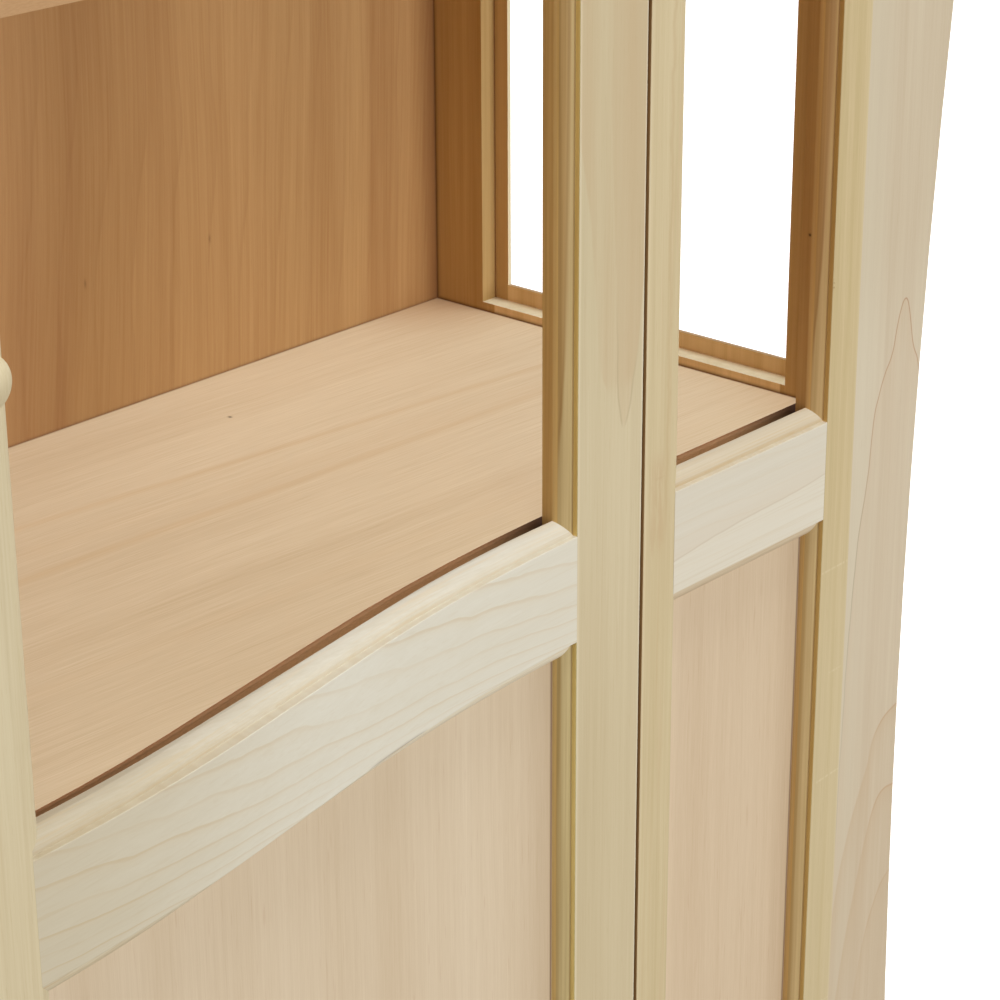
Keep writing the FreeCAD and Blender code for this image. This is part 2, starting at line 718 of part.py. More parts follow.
for nm, low, high, ml, mh, rl, rh in RAILS:
    low = base_top if low is None else low
    high = D.head_under if high is None else high
    name = "bay_" + nm + "_right"
    blank = pad(name + "_blank", "YZ_Plane", rail_section(face_y, low, high, ml, mh, rl, rh),
                bay_face, D.bay_open - bay_face)
    ends = rail_ends(name + "_in", bay_face, 1, lip_y, low, high, ml, mh)
    ends += rail_ends(name + "_out", D.bay_open, -1, lip_y, low, high, ml, mh)
    r = finish(cut(name, blank, *ends), name)
    mirror(r, "bay_" + nm + "_left")

r = finish(box("bay_panel_right", bay_x0 + D.panel_play, bay_x1 - D.panel_play, lip_y, frame_back,
               rab_z0 + D.panel_play, rab_z1 - D.panel_play), "bay_panel_right")
mirror(r, "bay_panel_left")

# ---------------------------------------------------------------- doors

door_len = door_high - door_low

# hinge stile, moulded on its inner side
steps = [(D.hinge_stile_out, frame_back), (D.hinge_stile_in - D.mould_width, frame_back)]
m = mould(D.hinge_stile_in, face_y, -1, 1)
steps += [(m[2][0], m[2][1], D.ovolo_radius, 1), m[1], m[0]]
steps += corner(D.hinge_stile_in, face_y, 0, -1, 1, 0, 1)
steps += corner(D.hinge_stile_out, face_y, 1, 0, 0, 1, 1)
hinge_blank = pad("door_hinge_stile_blank", "XY_Plane", steps, door_low, door_len)

# meeting stile on the crest of the swelling, moulded on its outer side
meet_y = crest_y(front_off)
meet_fall = D.meet_stile * D.meet_stile / (2 * (D.bow_rtwo + front_off))
my = meet_y + meet_fall
steps = [(D.mid_gap, meet_y), (D.meet_stile, my)]
m = mould(D.meet_stile, my, 1, 1)
steps += [m[0], (m[1][0], m[1][1], D.ovolo_radius, 1), m[2]]
steps += [(m[2][0], my + D.mould_depth + D.lip), (D.mid_gap, meet_y + D.mould_depth + D.lip)]
meet_blank = pad("door_meeting_stile_blank", "XY_Plane", steps, door_low, door_len)

# the door's panel, bent to the same line, and the room it takes in the stiles
panel_x1 = D.hinge_stile_in - D.mould_width + D.rabbet_width
panel_x0 = D.meet_stile + D.mould_width - D.rabbet_width


def bent_slab(name, front, back, x0, x1, z0, z1):
    """A slab bent to the swelling line between two offsets in front of the
    deck's edge, trimmed to x0 .. x1 (x1 may lie inside the outer arc)."""
    f = bow_half(front)
    b = bow_half(back)
    steps = [f[0], f[1], f[2], f[3], (bow_run + 40, f[3][1]), (bow_run + 40, b[3][1]),
             (b[3][0], b[3][1], b[2][2], 1), (b[2][0], b[2][1]),
             (b[1][0], b[1][1], b[0][2], -1), (b[0][0], b[0][1])]
    body = pad(name + "_bent", "XY_Plane", steps, z0, Dim.of(z1) - Dim.of(z0))
    side0 = box(name + "_trim0", -100, x0, deck_y - 300, deck_y + 100, Dim.of(z0) - 1, Dim.of(z1) + 1)
    side1 = box(name + "_trim1", x1, bow_run + 140, deck_y - 300, deck_y + 100, Dim.of(z0) - 1, Dim.of(z1) + 1)
    return cut(name, body, side0, side1)


panel_front = D.frame_gap + D.lip            # offset of the moulding's back edge
r = finish(bent_slab("door_panel_right", panel_front, D.frame_gap, panel_x0 + D.panel_play,
                     panel_x1 - D.panel_play, rab_z0 + D.panel_play, rab_z1 - D.panel_play),
           "door_panel_right")
mirror(r, "door_panel_left")
stile_rab = bent_slab("door_stile_rabbet", panel_front, D.frame_gap - 12, panel_x0, panel_x1, rab_z0, rab_z1)
# the rails' faces fall off a little along the swelling, so the planes where their
# mitres end lie just in front of the mouldings' back
hinge_split = face_y + D.mould_depth - 0.7
meet_split = my + D.mould_depth - 0.3
hinge_stile = cut("door_hinge_stile_right", hinge_blank, stile_rab,
                  *notches("door_hinge", D.hinge_stile_in, -1, hinge_split, door_low, door_high))
seat = cylinder("knob_seat_cut", D.knob_radius * 0.64 + 0.3, 10, D.knob_x, meet_y + D.knob_seat, D.knob_z, axis=(0, -1, 0))
bore = cylinder("knob_bore", D.tenon_radius + 0.05, D.tenon_length + 2, D.knob_x, meet_y + D.knob_seat + D.tenon_length + 1,
                D.knob_z, axis=(0, -1, 0))
meet_stile = cut("door_meeting_stile_right", meet_blank, stile_rab, seat, bore,
                 *notches("door_meeting", D.meet_stile, 1, meet_split, door_low, door_high))

face_half = swell_half(face_y, D.face_rone, D.face_rtwo, D.face_sin, D.face_cos, D.face_line)
land_half = swell_half(lip_y, D.land_rone, D.land_rtwo, D.land_sin, D.land_cos, D.land_line)

for nm, low, high, ml, mh, rl, rh in RAILS:
    low = door_low if low is None else low
    high = door_high if high is None else high
    name = "door_" + nm + "_right"
    slotted = nm == "waist_rail"
    blanks = []
    for part, h, section in (
            ("_blank", bow_half(front_off),
             rail_section(crest_y(front_off), low, high, ml, mh, rl, rh, D.land_spare if slotted else 0)),
            ("_face", face_half, face_section(face_half[0][1], low, high, ml, mh))):
        body = doc.addObject("PartDesign::Body", name + part)
        spine = sketch(body, name + part + "_line", "XY_Plane", h + [(bow_run + 30, h[3][1])], closed=False)
        sec = sketch(body, name + part + "_section", "YZ_Plane", section)
        pipe = body.newObject("PartDesign::AdditivePipe", name + part + "_pipe")
        pipe.Profile = sec
        pipe.Spine = (spine, ["Edge%d" % (k + 1) for k in range(4)])
        pipe.Mode = "Standard"
        body.Tip = pipe
        blanks.append(body)
    whole = fuse(name + "_whole", *blanks)
    t0 = box(name + "_end0", -50, D.meet_stile, meet_y - 60, meet_y + 80, door_low - 5, door_high + 5)
    t1 = box(name + "_end1", D.hinge_stile_in, bow_run + 90, face_y - 60, face_y + 80, door_low - 5, door_high + 5)
    ends = rail_ends(name + "_in", D.meet_stile, 1, meet_split, low, high, ml, mh)
    ends += rail_ends(name + "_out", D.hinge_stile_in, -1, hinge_split, low, high, ml, mh)
    if slotted:
        top = D.rail_waist_high + D.mould_width
        ends.append(pad(name + "_behind_land", "XY_Plane",
                        land_half + [(bow_run + 40, lip_y), (bow_run + 40, lip_y + 60), (Dim(0, "0"), lip_y + 60)],
                        top - D.slot_depth, D.slot_depth + 5))
    r = finish(cut(name, whole, t0, t1, *ends), name)
    mirror(r, "door_" + nm + "_left")

# ---------------------------------------------------------------- hinges
# Butt hinges on surface leaves in the 3.1 mm gap, knuckle in front. The frame
# leaf has the outer knuckles, the door leaf the middle one; the pin is driven
# into the frame leaf's knuckles and turns in the door's.

axis_x = (D.hinge_stile_out + D.bay_in) / 2
axis_y = face_y - D.pivot_off
third = D.leaf_height / 3
frame_leaves, door_leaves, pins = [], [], []
for k, mid in enumerate((D.hinge_one, D.hinge_two, D.hinge_three)):
    lo = mid - D.leaf_height / 2
    hi = mid + D.leaf_height / 2
    # frame side: leaf against the bay's inner stile, two knuckles
    leaf = box("frame_leaf%d" % k, D.bay_in - D.leaf_thick, D.bay_in, axis_y + D.knuckle * 0.6,
               face_y + D.leaf_depth, lo, hi)
    ka = cylinder("frame_knuckle_a%d" % k, D.knuckle, third - 0.15, axis_x, axis_y, lo)
    kb = cylinder("frame_knuckle_b%d" % k, D.knuckle, third - 0.15, axis_x, axis_y, hi - third + 0.15)
    bore = cylinder("frame_bore%d" % k, D.pin_r, D.leaf_height + 4, axis_x, axis_y, lo - 2)
    web = box("frame_web%d" % k, axis_x, D.bay_in, axis_y, axis_y + D.knuckle, lo, hi)
    keep = box("frame_clear%d" % k, axis_x - 6, D.bay_in - D.leaf_thick, axis_y - 6, axis_y + 40,
               lo + third - 0.15, hi - third + 0.15)
    keep2 = box("frame_clear_b%d" % k, axis_x - 6, D.bay_in + 1, axis_y - 6, face_y,
                lo + third - 0.15, hi - third + 0.15)
    frame_leaves.append(cut("frame_hinge%d" % k, fuse("frame_hinge_raw%d" % k, leaf, ka, kb, web), bore, keep, keep2))
    # door side: leaf against the door's hinge stile, one knuckle
    leaf = box("door_leaf%d" % k, D.hinge_stile_out, D.hinge_stile_out + D.leaf_thick,
               axis_y + D.knuckle * 0.6, face_y + D.leaf_depth, lo, hi)
    kc = cylinder("door_knuckle%d" % k, D.knuckle, third - 0.3, axis_x, axis_y, lo + third + 0.15)
    web = box("door_web%d" % k, D.hinge_stile_out, axis_x, axis_y, axis_y + D.knuckle,
              lo + third + 0.15, hi - third - 0.15)
    bore = cylinder("door_bore%d" % k, D.pin_r + D.pin_play, D.leaf_height + 4, axis_x, axis_y, lo - 2)
    clear_a = box("door_clear_a%d" % k, D.hinge_stile_out - 1, axis_x + 6, axis_y - 6, face_y,
                  lo - 1, lo + third + 0.15)
    clear_b = box("door_clear_b%d" % k, D.hinge_stile_out - 1, axis_x + 6, axis_y - 6, face_y,
                  hi - third - 0.15, hi + 1)
    door_leaves.append(cut("door_hinge%d" % k, fuse("door_hinge_raw%d" % k, leaf, kc, web), bore, clear_a, clear_b))
    pin = cylinder("pin_shank%d" % k, D.pin_r, D.leaf_height + 0.8, axis_x, axis_y, lo - 0.4)
    cap_a = cylinder("pin_cap_a%d" % k, D.knuckle - 0.6, 1.6, axis_x, axis_y, lo - 1.6)
    cap_b = cylinder("pin_cap_b%d" % k, D.knuckle - 0.6, 1.6, axis_x, axis_y, hi)
    pins.append(fuse("hinge_pin%d" % k, pin, cap_a, cap_b))


def mirrored(name, objs):
    out = []
    for k, o in enumerate(objs):
        m = doc.addObject("Part::Mirroring", "%s_m%d" % (name, k))
        m.Source = o
        m.Normal = V(1, 0, 0)
        m.Base = V(0, 0, 0)
        out.append(m)
    return out


finish(hinge_stile, "door_hinge_stile_right")
mirror(hinge_stile, "door_hinge_stile_left")
finish(meet_stile, "door_meeting_stile_right")
mirror(meet_stile, "door_meeting_stile_left")
finish(compound("frame_hinge_leaves", *(frame_leaves + mirrored("frame_hinge", frame_leaves))), "frame_hinge_leaves")
finish(compound("hinge_pins", *(pins + mirrored("hinge_pin", pins))), "hinge_pins")
dl = finish(compound("door_hinge_leaves_right", *door_leaves), "door_hinge_leaves_right")
finish(compound("door_hinge_leaves_left", *mirrored("door_hinge", door_leaves)), "door_hinge_leaves_left")

# ---------------------------------------------------------------- knobs
# A turned knob on each meeting stile: base, waist and a domed head.

knob_y = meet_y + D.knob_seat
body = doc.addObject("PartDesign::Body", "door_knob_right")
kr, reach = D.knob_radius, D.knob_reach
rim, cap = kr * 0.94, reach * 0.18
dome = (rim * rim + cap * cap) / (cap * 2)      # a ball's face, centred on the axis
# section in the XY plane: x is the radius, y runs out along the knob's axis
sec = sketch(body, "knob_section", "XY_Plane", [
    (0, -D.tenon_length), (D.tenon_radius, -D.tenon_length), (D.tenon_radius, 0), (kr * 0.64, 0), (kr * 0.64, 2), (kr * 0.5, 4, kr * 0.7, -1), (kr * 0.62, reach * 0.52),
    (kr * 0.9, reach * 0.58, kr * 0.32, 1), (rim, reach - cap, dome, 1), (0, reach)])
rev = body.newObject("PartDesign::Revolution", "knob_turning")
rev.Profile = sec
rev.ReferenceAxis = (sec, ["V_Axis"])
rev.Angle = 360.0
body.Tip = rev
# the axis runs out along -Y
body.Placement = FreeCAD.Placement(V(0, 0, 0), FreeCAD.Rotation(V(0, 0, 1), 180))
place(body, D.knob_x, knob_y, D.knob_z)
r = finish(body, "door_knob_right")
mirror(r, "door_knob_left")

# ---------------------------------------------------------------- catches
# Magnet catches under the top board and on the bottom board behind the meeting
# stiles, each with a steel strike plate on the door.

stile_back = meet_y + D.mould_depth + D.lip
plate_back = stile_back + 2.2
catches, plates = [], []
for k, (z0, z1) in enumerate(((base_top, base_top + D.catch_high),
                              (D.head_under - D.catch_high, D.head_under))):
    z0, z1 = Dim.of(z0), Dim.of(z1)
    catches.append(box("catch%d" % k, D.catch_x - D.catch_wide / 2, D.catch_x + D.catch_wide / 2,
                       plate_back + 0.4, plate_back + 0.4 + D.catch_deep, z0, z1))
    plates.append(box("plate%d" % k, D.catch_x - 9, D.catch_x + 9, stile_back + 0.76, plate_back,
                      (door_low + 1) if k == 0 else (door_high - 12), (door_low + 12) if k == 0 else (door_high - 1)))
finish(compound("magnet_catches", *(catches + mirrored("catch", catches))), "magnet_catches")
finish(compound("strike_plates_right", *plates), "strike_plates_right")
finish(compound("strike_plates_left", *mirrored("plate", plates)), "strike_plates_left")

# ---------------------------------------------------------------- shelves

pins_all = []
for nm, top in (("shelf_lower", D.shelf_low_top), ("shelf_upper", D.shelf_high_top)):
    board(nm, nm, -(D.half_inner - 1.5), D.half_inner - 1.5, D.back_y - 2 - D.shelf_depth,
          D.back_y - 2, top - D.shelf_thick, top)
    for k, yy in enumerate((rear_y + 22, front_edge - 5)):
        z = top - D.shelf_thick - D.pin_head
        head = cylinder("%s_pin%d" % (nm, k), D.pin_head, 9, D.half_inner - 9, yy, z, axis=(1, 0, 0))
        pins_all.append(head)
finish(compound("shelf_pins", *(pins_all + mirrored("shelf_pin", pins_all))), "shelf_pins")

# ---------------------------------------------------------------- write

doc.recompute()
bad = []
for o in doc.Objects:
    if "Invalid" in o.State or "Error" in o.State:
        bad.append((o.Name, o.State, o.getStatusString()))
for o in FINAL:
    if o.Shape.isNull():
        bad.append((o.Label, "null shape"))
    elif not o.Shape.isValid():
        bad.append((o.Label, "invalid shape"))
    elif len(o.Shape.Solids) == 0:
        bad.append((o.Label, "no solid"))
names = [o.Label for o in FINAL]
if len(set(names)) != len(names):
    bad.append(("labels", "not unique"))
for b in bad:
    print("BAD", b)
if bad:
    raise SystemExit("the model has faults, nothing written")

os.makedirs("parts", exist_ok=True)
for o in FINAL:
    o.Shape.exportStep("parts/%s.step" % o.Label)
print("wrote %d parts" % len(FINAL))
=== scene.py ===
import json
import math

import bpy
from mathutils import Matrix, Vector


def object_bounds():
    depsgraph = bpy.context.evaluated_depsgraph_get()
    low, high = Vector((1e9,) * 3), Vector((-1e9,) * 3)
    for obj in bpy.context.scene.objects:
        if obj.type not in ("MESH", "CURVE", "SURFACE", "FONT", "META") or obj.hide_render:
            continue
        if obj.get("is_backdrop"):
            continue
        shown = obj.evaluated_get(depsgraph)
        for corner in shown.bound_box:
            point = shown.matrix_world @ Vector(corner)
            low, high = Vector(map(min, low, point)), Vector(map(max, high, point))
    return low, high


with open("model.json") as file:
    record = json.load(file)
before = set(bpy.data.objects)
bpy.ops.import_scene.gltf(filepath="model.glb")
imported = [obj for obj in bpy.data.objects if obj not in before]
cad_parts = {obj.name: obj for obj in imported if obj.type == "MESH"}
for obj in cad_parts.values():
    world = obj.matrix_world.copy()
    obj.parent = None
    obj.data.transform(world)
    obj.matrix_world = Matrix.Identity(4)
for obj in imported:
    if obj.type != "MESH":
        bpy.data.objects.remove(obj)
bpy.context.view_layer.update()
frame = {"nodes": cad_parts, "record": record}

nodes = frame["nodes"]
scene = bpy.context.scene


def lin(r, g, b):
    """0-255 display values to linear, with alpha."""
    out = []
    for c in (r, g, b):
        c /= 255.0
        out.append(c / 12.92 if c <= 0.04045 else ((c + 0.055) / 1.055) ** 2.4)
    return tuple(out) + (1.0,)


# ---------------------------------------------------------------- node helper

class Net:
    """A small helper that wires shader nodes. Values are floats or sockets."""

    def __init__(self, name):
        self.mat = bpy.data.materials.new(name)
        self.mat.use_nodes = True
        self.nt = self.mat.node_tree
        self.nt.nodes.clear()
        self.out = self.nt.nodes.new("ShaderNodeOutputMaterial")
        self.bsdf = self.nt.nodes.new("ShaderNodeBsdfPrincipled")
        self.nt.links.new(self.bsdf.outputs["BSDF"], self.out.inputs["Surface"])
        self._pos = None
        self._nrm = None

    def put(self, socket, value):
        if isinstance(value, bpy.types.NodeSocket):
            self.nt.links.new(value, socket)
        else:
            socket.default_value = value

    def math(self, op, a, b=None, c=None, clamp=False):
        n = self.nt.nodes.new("ShaderNodeMath")
        n.operation = op
        n.use_clamp = clamp
        self.put(n.inputs[0], a)
        if b is not None:
            self.put(n.inputs[1], b)
        if c is not None:
            self.put(n.inputs[2], c)
        return n.outputs[0]

    def add(self, a, b):
        return self.math("ADD", a, b)

    def sub(self, a, b):
        return self.math("SUBTRACT", a, b)

    def mul(self, a, b):
        return self.math("MULTIPLY", a, b)

    def div(self, a, b):
        return self.math("DIVIDE", a, b)

    def mx(self, a, b):
        return self.math("MAXIMUM", a, b)

    def mn(self, a, b):
        return self.math("MINIMUM", a, b)

    def absolute(self, a):
        return self.math("ABSOLUTE", a)

    def step(self, x, lo, hi, out_lo=0.0, out_hi=1.0, smooth=True):
        n = self.nt.nodes.new("ShaderNodeMapRange")
        n.interpolation_type = "SMOOTHSTEP" if smooth else "LINEAR"
        n.clamp = True
        self.put(n.inputs["Value"], x)
        self.put(n.inputs["From Min"], lo)
        self.put(n.inputs["From Max"], hi)
        self.put(n.inputs["To Min"], out_lo)
        self.put(n.inputs["To Max"], out_hi)
        return n.outputs["Result"]

    def band(self, x, mid, half, soft):
        """1 within half of mid, falling to 0 over soft."""
        return self.step(self.absolute(self.sub(x, mid)), half, half + soft, 1.0, 0.0)

    def line(self, d, width):
        """A soft line where the distance d is 0."""
        q = self.div(d, width)
        return self.math("EXPONENT", self.mul(self.mul(q, q), -1.0))

    def vec(self, x, y, z):
        n = self.nt.nodes.new("ShaderNodeCombineXYZ")
        self.put(n.inputs[0], x)
        self.put(n.inputs[1], y)
        self.put(n.inputs[2], z)
        return n.outputs[0]

    def coords(self):
        tc = self.nt.nodes.new("ShaderNodeTexCoord")
        return tc

    def pos(self):
        """The row frame's coordinates in millimetres."""
        if self._pos is None:
            sc = self.nt.nodes.new("ShaderNodeVectorMath")
            sc.operation = "SCALE"
            sc.inputs["Scale"].default_value = 1000.0
            self.nt.links.new(self.coords().outputs["Object"], sc.inputs[0])
            sp = self.nt.nodes.new("ShaderNodeSeparateXYZ")
            self.nt.links.new(sc.outputs[0], sp.inputs[0])
            self._pos = (sp.outputs[0], sp.outputs[1], sp.outputs[2])
        return self._pos

    def nrm(self):
        """The surface's normal in the row frame, which moves with the piece."""
        if self._nrm is None:
            sp = self.nt.nodes.new("ShaderNodeSeparateXYZ")
            self.nt.links.new(self.coords().outputs["Normal"], sp.inputs[0])
            self._nrm = (sp.outputs[0], sp.outputs[1], sp.outputs[2])
        return self._nrm

    def noise(self, v, scale=1.0, detail=2.0, rough=0.5, distort=0.0, lac=2.0):
        n = self.nt.nodes.new("ShaderNodeTexNoise")
        n.noise_dimensions = "3D"
        self.put(n.inputs["Vector"], v)
        n.inputs["Scale"].default_value = scale
        n.inputs["Detail"].default_value = detail
        n.inputs["Roughness"].default_value = rough
        n.inputs["Lacunarity"].default_value = lac
        n.inputs["Distortion"].default_value = distort
        return n.outputs["Fac"]

    def curve(self, x, pts, x0, x1, y0, y1):
        """A smooth function through the points (x, y)."""
        n = self.nt.nodes.new("ShaderNodeFloatCurve")
        c = n.mapping.curves[0]
        n.mapping.use_clip = False
        norm = [((p[0] - x0) / (x1 - x0), (p[1] - y0) / (y1 - y0)) for p in pts]
        c.points[0].location = norm[0]
        c.points[-1].location = norm[-1]
        for p in norm[1:-1]:
            c.points.new(*p)
        n.mapping.update()
        self.put(n.inputs["Value"], self.step(x, x0, x1, 0.0, 1.0, smooth=False))
        return self.add(self.mul(n.outputs[0], y1 - y0), y0)

    def mix(self, fac, a, b, mode="MIX"):
        n = self.nt.nodes.new("ShaderNodeMix")
        n.data_type = "RGBA"
        n.blend_type = mode
        n.clamp_factor = True
        self.put(n.inputs[0], fac)
        self.put(n.inputs[6], a)
        self.put(n.inputs[7], b)
        return n.outputs[2]

    def bump(self, height, distance, strength=1.0):
        n = self.nt.nodes.new("ShaderNodeBump")
        n.inputs["Strength"].default_value = strength
        n.inputs["Distance"].default_value = distance
        self.put(n.inputs["Height"], height)
        self.nt.links.new(n.outputs[0], self.bsdf.inputs["Normal"])

    def finish(self, colour, rough, specular=0.3, metallic=0.0):
        self.put(self.bsdf.inputs["Base Color"], colour)
        self.put(self.bsdf.inputs["Roughness"], rough)
        self.bsdf.inputs["Specular IOR Level"].default_value = specular
        self.bsdf.inputs["Metallic"].default_value = metallic
        return self.mat

    # ---- wood

    def axes(self, grain):
        """(along the grain, across, depth) in mm for grain 'X', 'Y' or 'Z'."""
        x, y, z = self.pos()
        return {"X": (x, z, y), "Z": (z, x, y), "Y": (y, x, z)}[grain]

    def streak(self, grain, across, along, seed, detail=2.0, warp=None):
        """Noise drawn out along the grain: its cells are 1/across wide and 1/along long."""
        g, a, d = self.axes(grain)
        if warp is not None:
            a = self.add(a, warp)
        return self.noise(self.vec(self.add(self.mul(g, along), seed), self.add(self.mul(a, across), seed * 3.1),
                                   self.mul(d, across)), 1.0, detail, 0.55)

    def tone(self, base, *parts):
        """base plus the sum of weight x (noise - 0.5)."""
        t = base
        for n, w in parts:
            t = self.add(t, self.mul(self.sub(n, 0.5), w))
        return t

    def pores(self, grain, seed, across=1.5, along=0.07, lo=0.64, hi=0.74):
        """Short dark dashes along the grain."""
        return self.step(self.streak(grain, across, along, seed, 1.0), lo, hi)


# Faces that look towards the cabinet's middle, such as a rebate's floor, are given a browner, darker colour: painted
# shade on faces turned away from the lights.
def inward_shade(n, lo=0.2, hi=0.8):
    x, _, _ = n.pos()
    nx, _, _ = n.nrm()
    return n.step(n.mul(n.mul(n.math("SIGN", x), nx), -1.0), lo, hi)


def wood(n, grain, light, dark, seed, fine=0.9, mid=1.1, broad=1.3):
    f = n.streak(grain, 0.85, 0.012, seed, 3.0)
    m = n.streak(grain, 0.20, 0.004, seed + 5.0, 2.0)
    b = n.streak(grain, 0.028, 0.0012, seed + 9.0, 2.0)
    t = n.tone(0.5, (f, fine), (m, mid), (b, broad))
    return n.mix(n.step(t, 0.0, 1.0, 0.0, 1.0, False), dark, light), f


def close(n, col, f, rough=0.6, specular=0.25, relief=0.00006):
    n.bump(f, relief, 0.5)
    return n.finish(col, n.step(f, 0.3, 0.7, rough + 0.05, rough - 0.05, False), specular)


# ---------------------------------------------------------------- woods

def plain(name, grain, light, dark, seed, shade_tint=(0.62, 0.50, 0.38, 1)):
    n = Net(name)
    col, f = wood(n, grain, light, dark, seed)
    p = n.pores(grain, seed + 20)
    col = n.mix(n.mul(p, 0.25), col, (0.75, 0.66, 0.52, 1), "MULTIPLY")
    # painted shade: faces that look towards the cabinet's middle are darker and browner
    if shade_tint:
        col = n.mix(inward_shade(n), col, shade_tint, "MULTIPLY")
    return close(n, col, f)


def post():
    """Pale poplar with one tall pointed growth ring and two low shoulders."""
    n = Net("pale_poplar")
    x, y, z = n.pos()
    ax = n.absolute(x)
    left = n.step(x, -1.0, 1.0, 1.0, 0.0)
    wz = n.mul(n.sub(n.noise(n.vec(n.mul(x, 0.02), 3.0, n.mul(z, 0.012)), 1.0, 2.0), 0.5), 10.0)
    zz = n.add(n.add(z, n.mul(left, -96.0)), wz)
    wx = n.mul(n.sub(n.noise(n.vec(n.mul(z, 0.02), 7.0, n.mul(x, 0.01)), 1.0, 2.0), 0.5), 3.0)
    col, f = wood(n, "Z", lin(210, 198, 172), lin(194, 176, 148), 1.0, 0.5, 0.8, 1.2)
    # towards the yellow stile the wood is paler and greyer
    col = n.mix(n.mul(n.band(n.add(ax, wx), 842.0, 6.0, 26.0), 0.35), col, lin(206, 197, 172))
    # ring 1
    pts = [(0, 0), (2.5, 1.5), (5, 6), (9, 19), (13, 36), (21.5, 52), (27, 66), (32.6, 83), (37.8, 127), (45.4, 173),
           (50.8, 236), (53.6, 283.5), (57, 400), (60, 620)]
    dx = n.sub(n.add(ax, wx), 893.4)
    dx = n.absolute(n.mul(dx, n.step(dx, -0.5, 0.5, 1.0, 1.15)))
    dz = n.sub(907.1, zz)
    g = n.curve(dx, pts, 0, 60, 0, 620)
    g1 = n.curve(n.add(dx, 0.6), pts, 0, 60, 0, 620)
    g0 = n.curve(n.sub(dx, 0.6), pts, 0, 60, 0, 620)
    slope = n.div(n.sub(g1, g0), 1.2)
    root = n.math("SQRT", n.add(n.mul(slope, slope), 1.0))
    dist = n.div(n.sub(dz, g), root)
    inside = n.step(dist, 0.0, 0.8)
    fade = n.math("EXPONENT", n.mul(n.mx(dist, 0.0), -1.0 / 14.0))
    alive = n.step(dz, -40.0, 0.0)
    col = n.mix(n.mul(n.mul(inside, alive), n.add(n.mul(fade, 0.3), 0.12)), col, lin(198, 176, 146))
    strong = n.step(dz, 40.0, 330.0, 1.0, 0.35, False)
    ring = n.mul(n.line(dist, 0.55), n.mul(alive, strong))
    col = n.mix(n.mul(ring, 0.85), col, n.mix(n.step(dz, 90.0, 200.0), lin(172, 130, 98), lin(150, 132, 104)))
    # rings 2 and 3
    for pts, top, amount in (
            ([(820, 300), (838, 440), (851.5, 495), (868, 533), (874, 547), (878, 563), (887, 576), (907, 583), (966, 590)], 590, 0.8),
            ([(820, 180), (850, 380), (868, 455), (878, 488), (886, 507), (893, 515), (909, 517), (940, 519), (966, 520)], 520, 0.8),
            ([(820, 60), (846, 240), (866, 330), (880, 390), (896, 428), (912, 441), (930, 446), (950, 448), (966, 450)], 450, 0.5)):
        xx = n.add(ax, wx)
        lo = pts[0][1]
        h = n.curve(xx, pts, 820, 966, lo, top)
        h1 = n.curve(n.add(xx, 0.8), pts, 820, 966, lo, top)
        h0 = n.curve(n.sub(xx, 0.8), pts, 820, 966, lo, top)
        sl = n.div(n.sub(h1, h0), 1.6)
        rt = n.math("SQRT", n.add(n.mul(sl, sl), 1.0))
        dd = n.div(n.sub(h, zz), rt)
        ins = n.step(dd, -0.4, 1.2)
        fd = n.math("EXPONENT", n.mul(n.mx(dd, 0.0), -1.0 / 11.0))
        col = n.mix(n.mul(n.mul(ins, n.add(n.mul(fd, 0.5), 0.12)), amount), col, lin(190, 163, 128))
        col = n.mix(n.mul(n.line(dd, 0.8), n.mul(n.step(xx, 872.0, 890.0, 0.15, 0.75), amount)), col, lin(182, 142, 106))
    p = n.pores("Z", 21.0, 1.3, 0.05)
    col = n.mix(n.mul(p, 0.16), col, (0.8, 0.7, 0.58, 1), "MULTIPLY")
    col = n.mix(n.step(zz, 850.0, 960.0), col, (0.95, 0.935, 0.91, 1), "MULTIPLY")
    # end grain and the face against the side frame stay browner: painted shade on the faces that look towards the
    # cabinet's middle
    col = n.mix(inward_shade(n), col, (0.7, 0.58, 0.44, 1), "MULTIPLY")
    return close(n, col, f, 0.62)


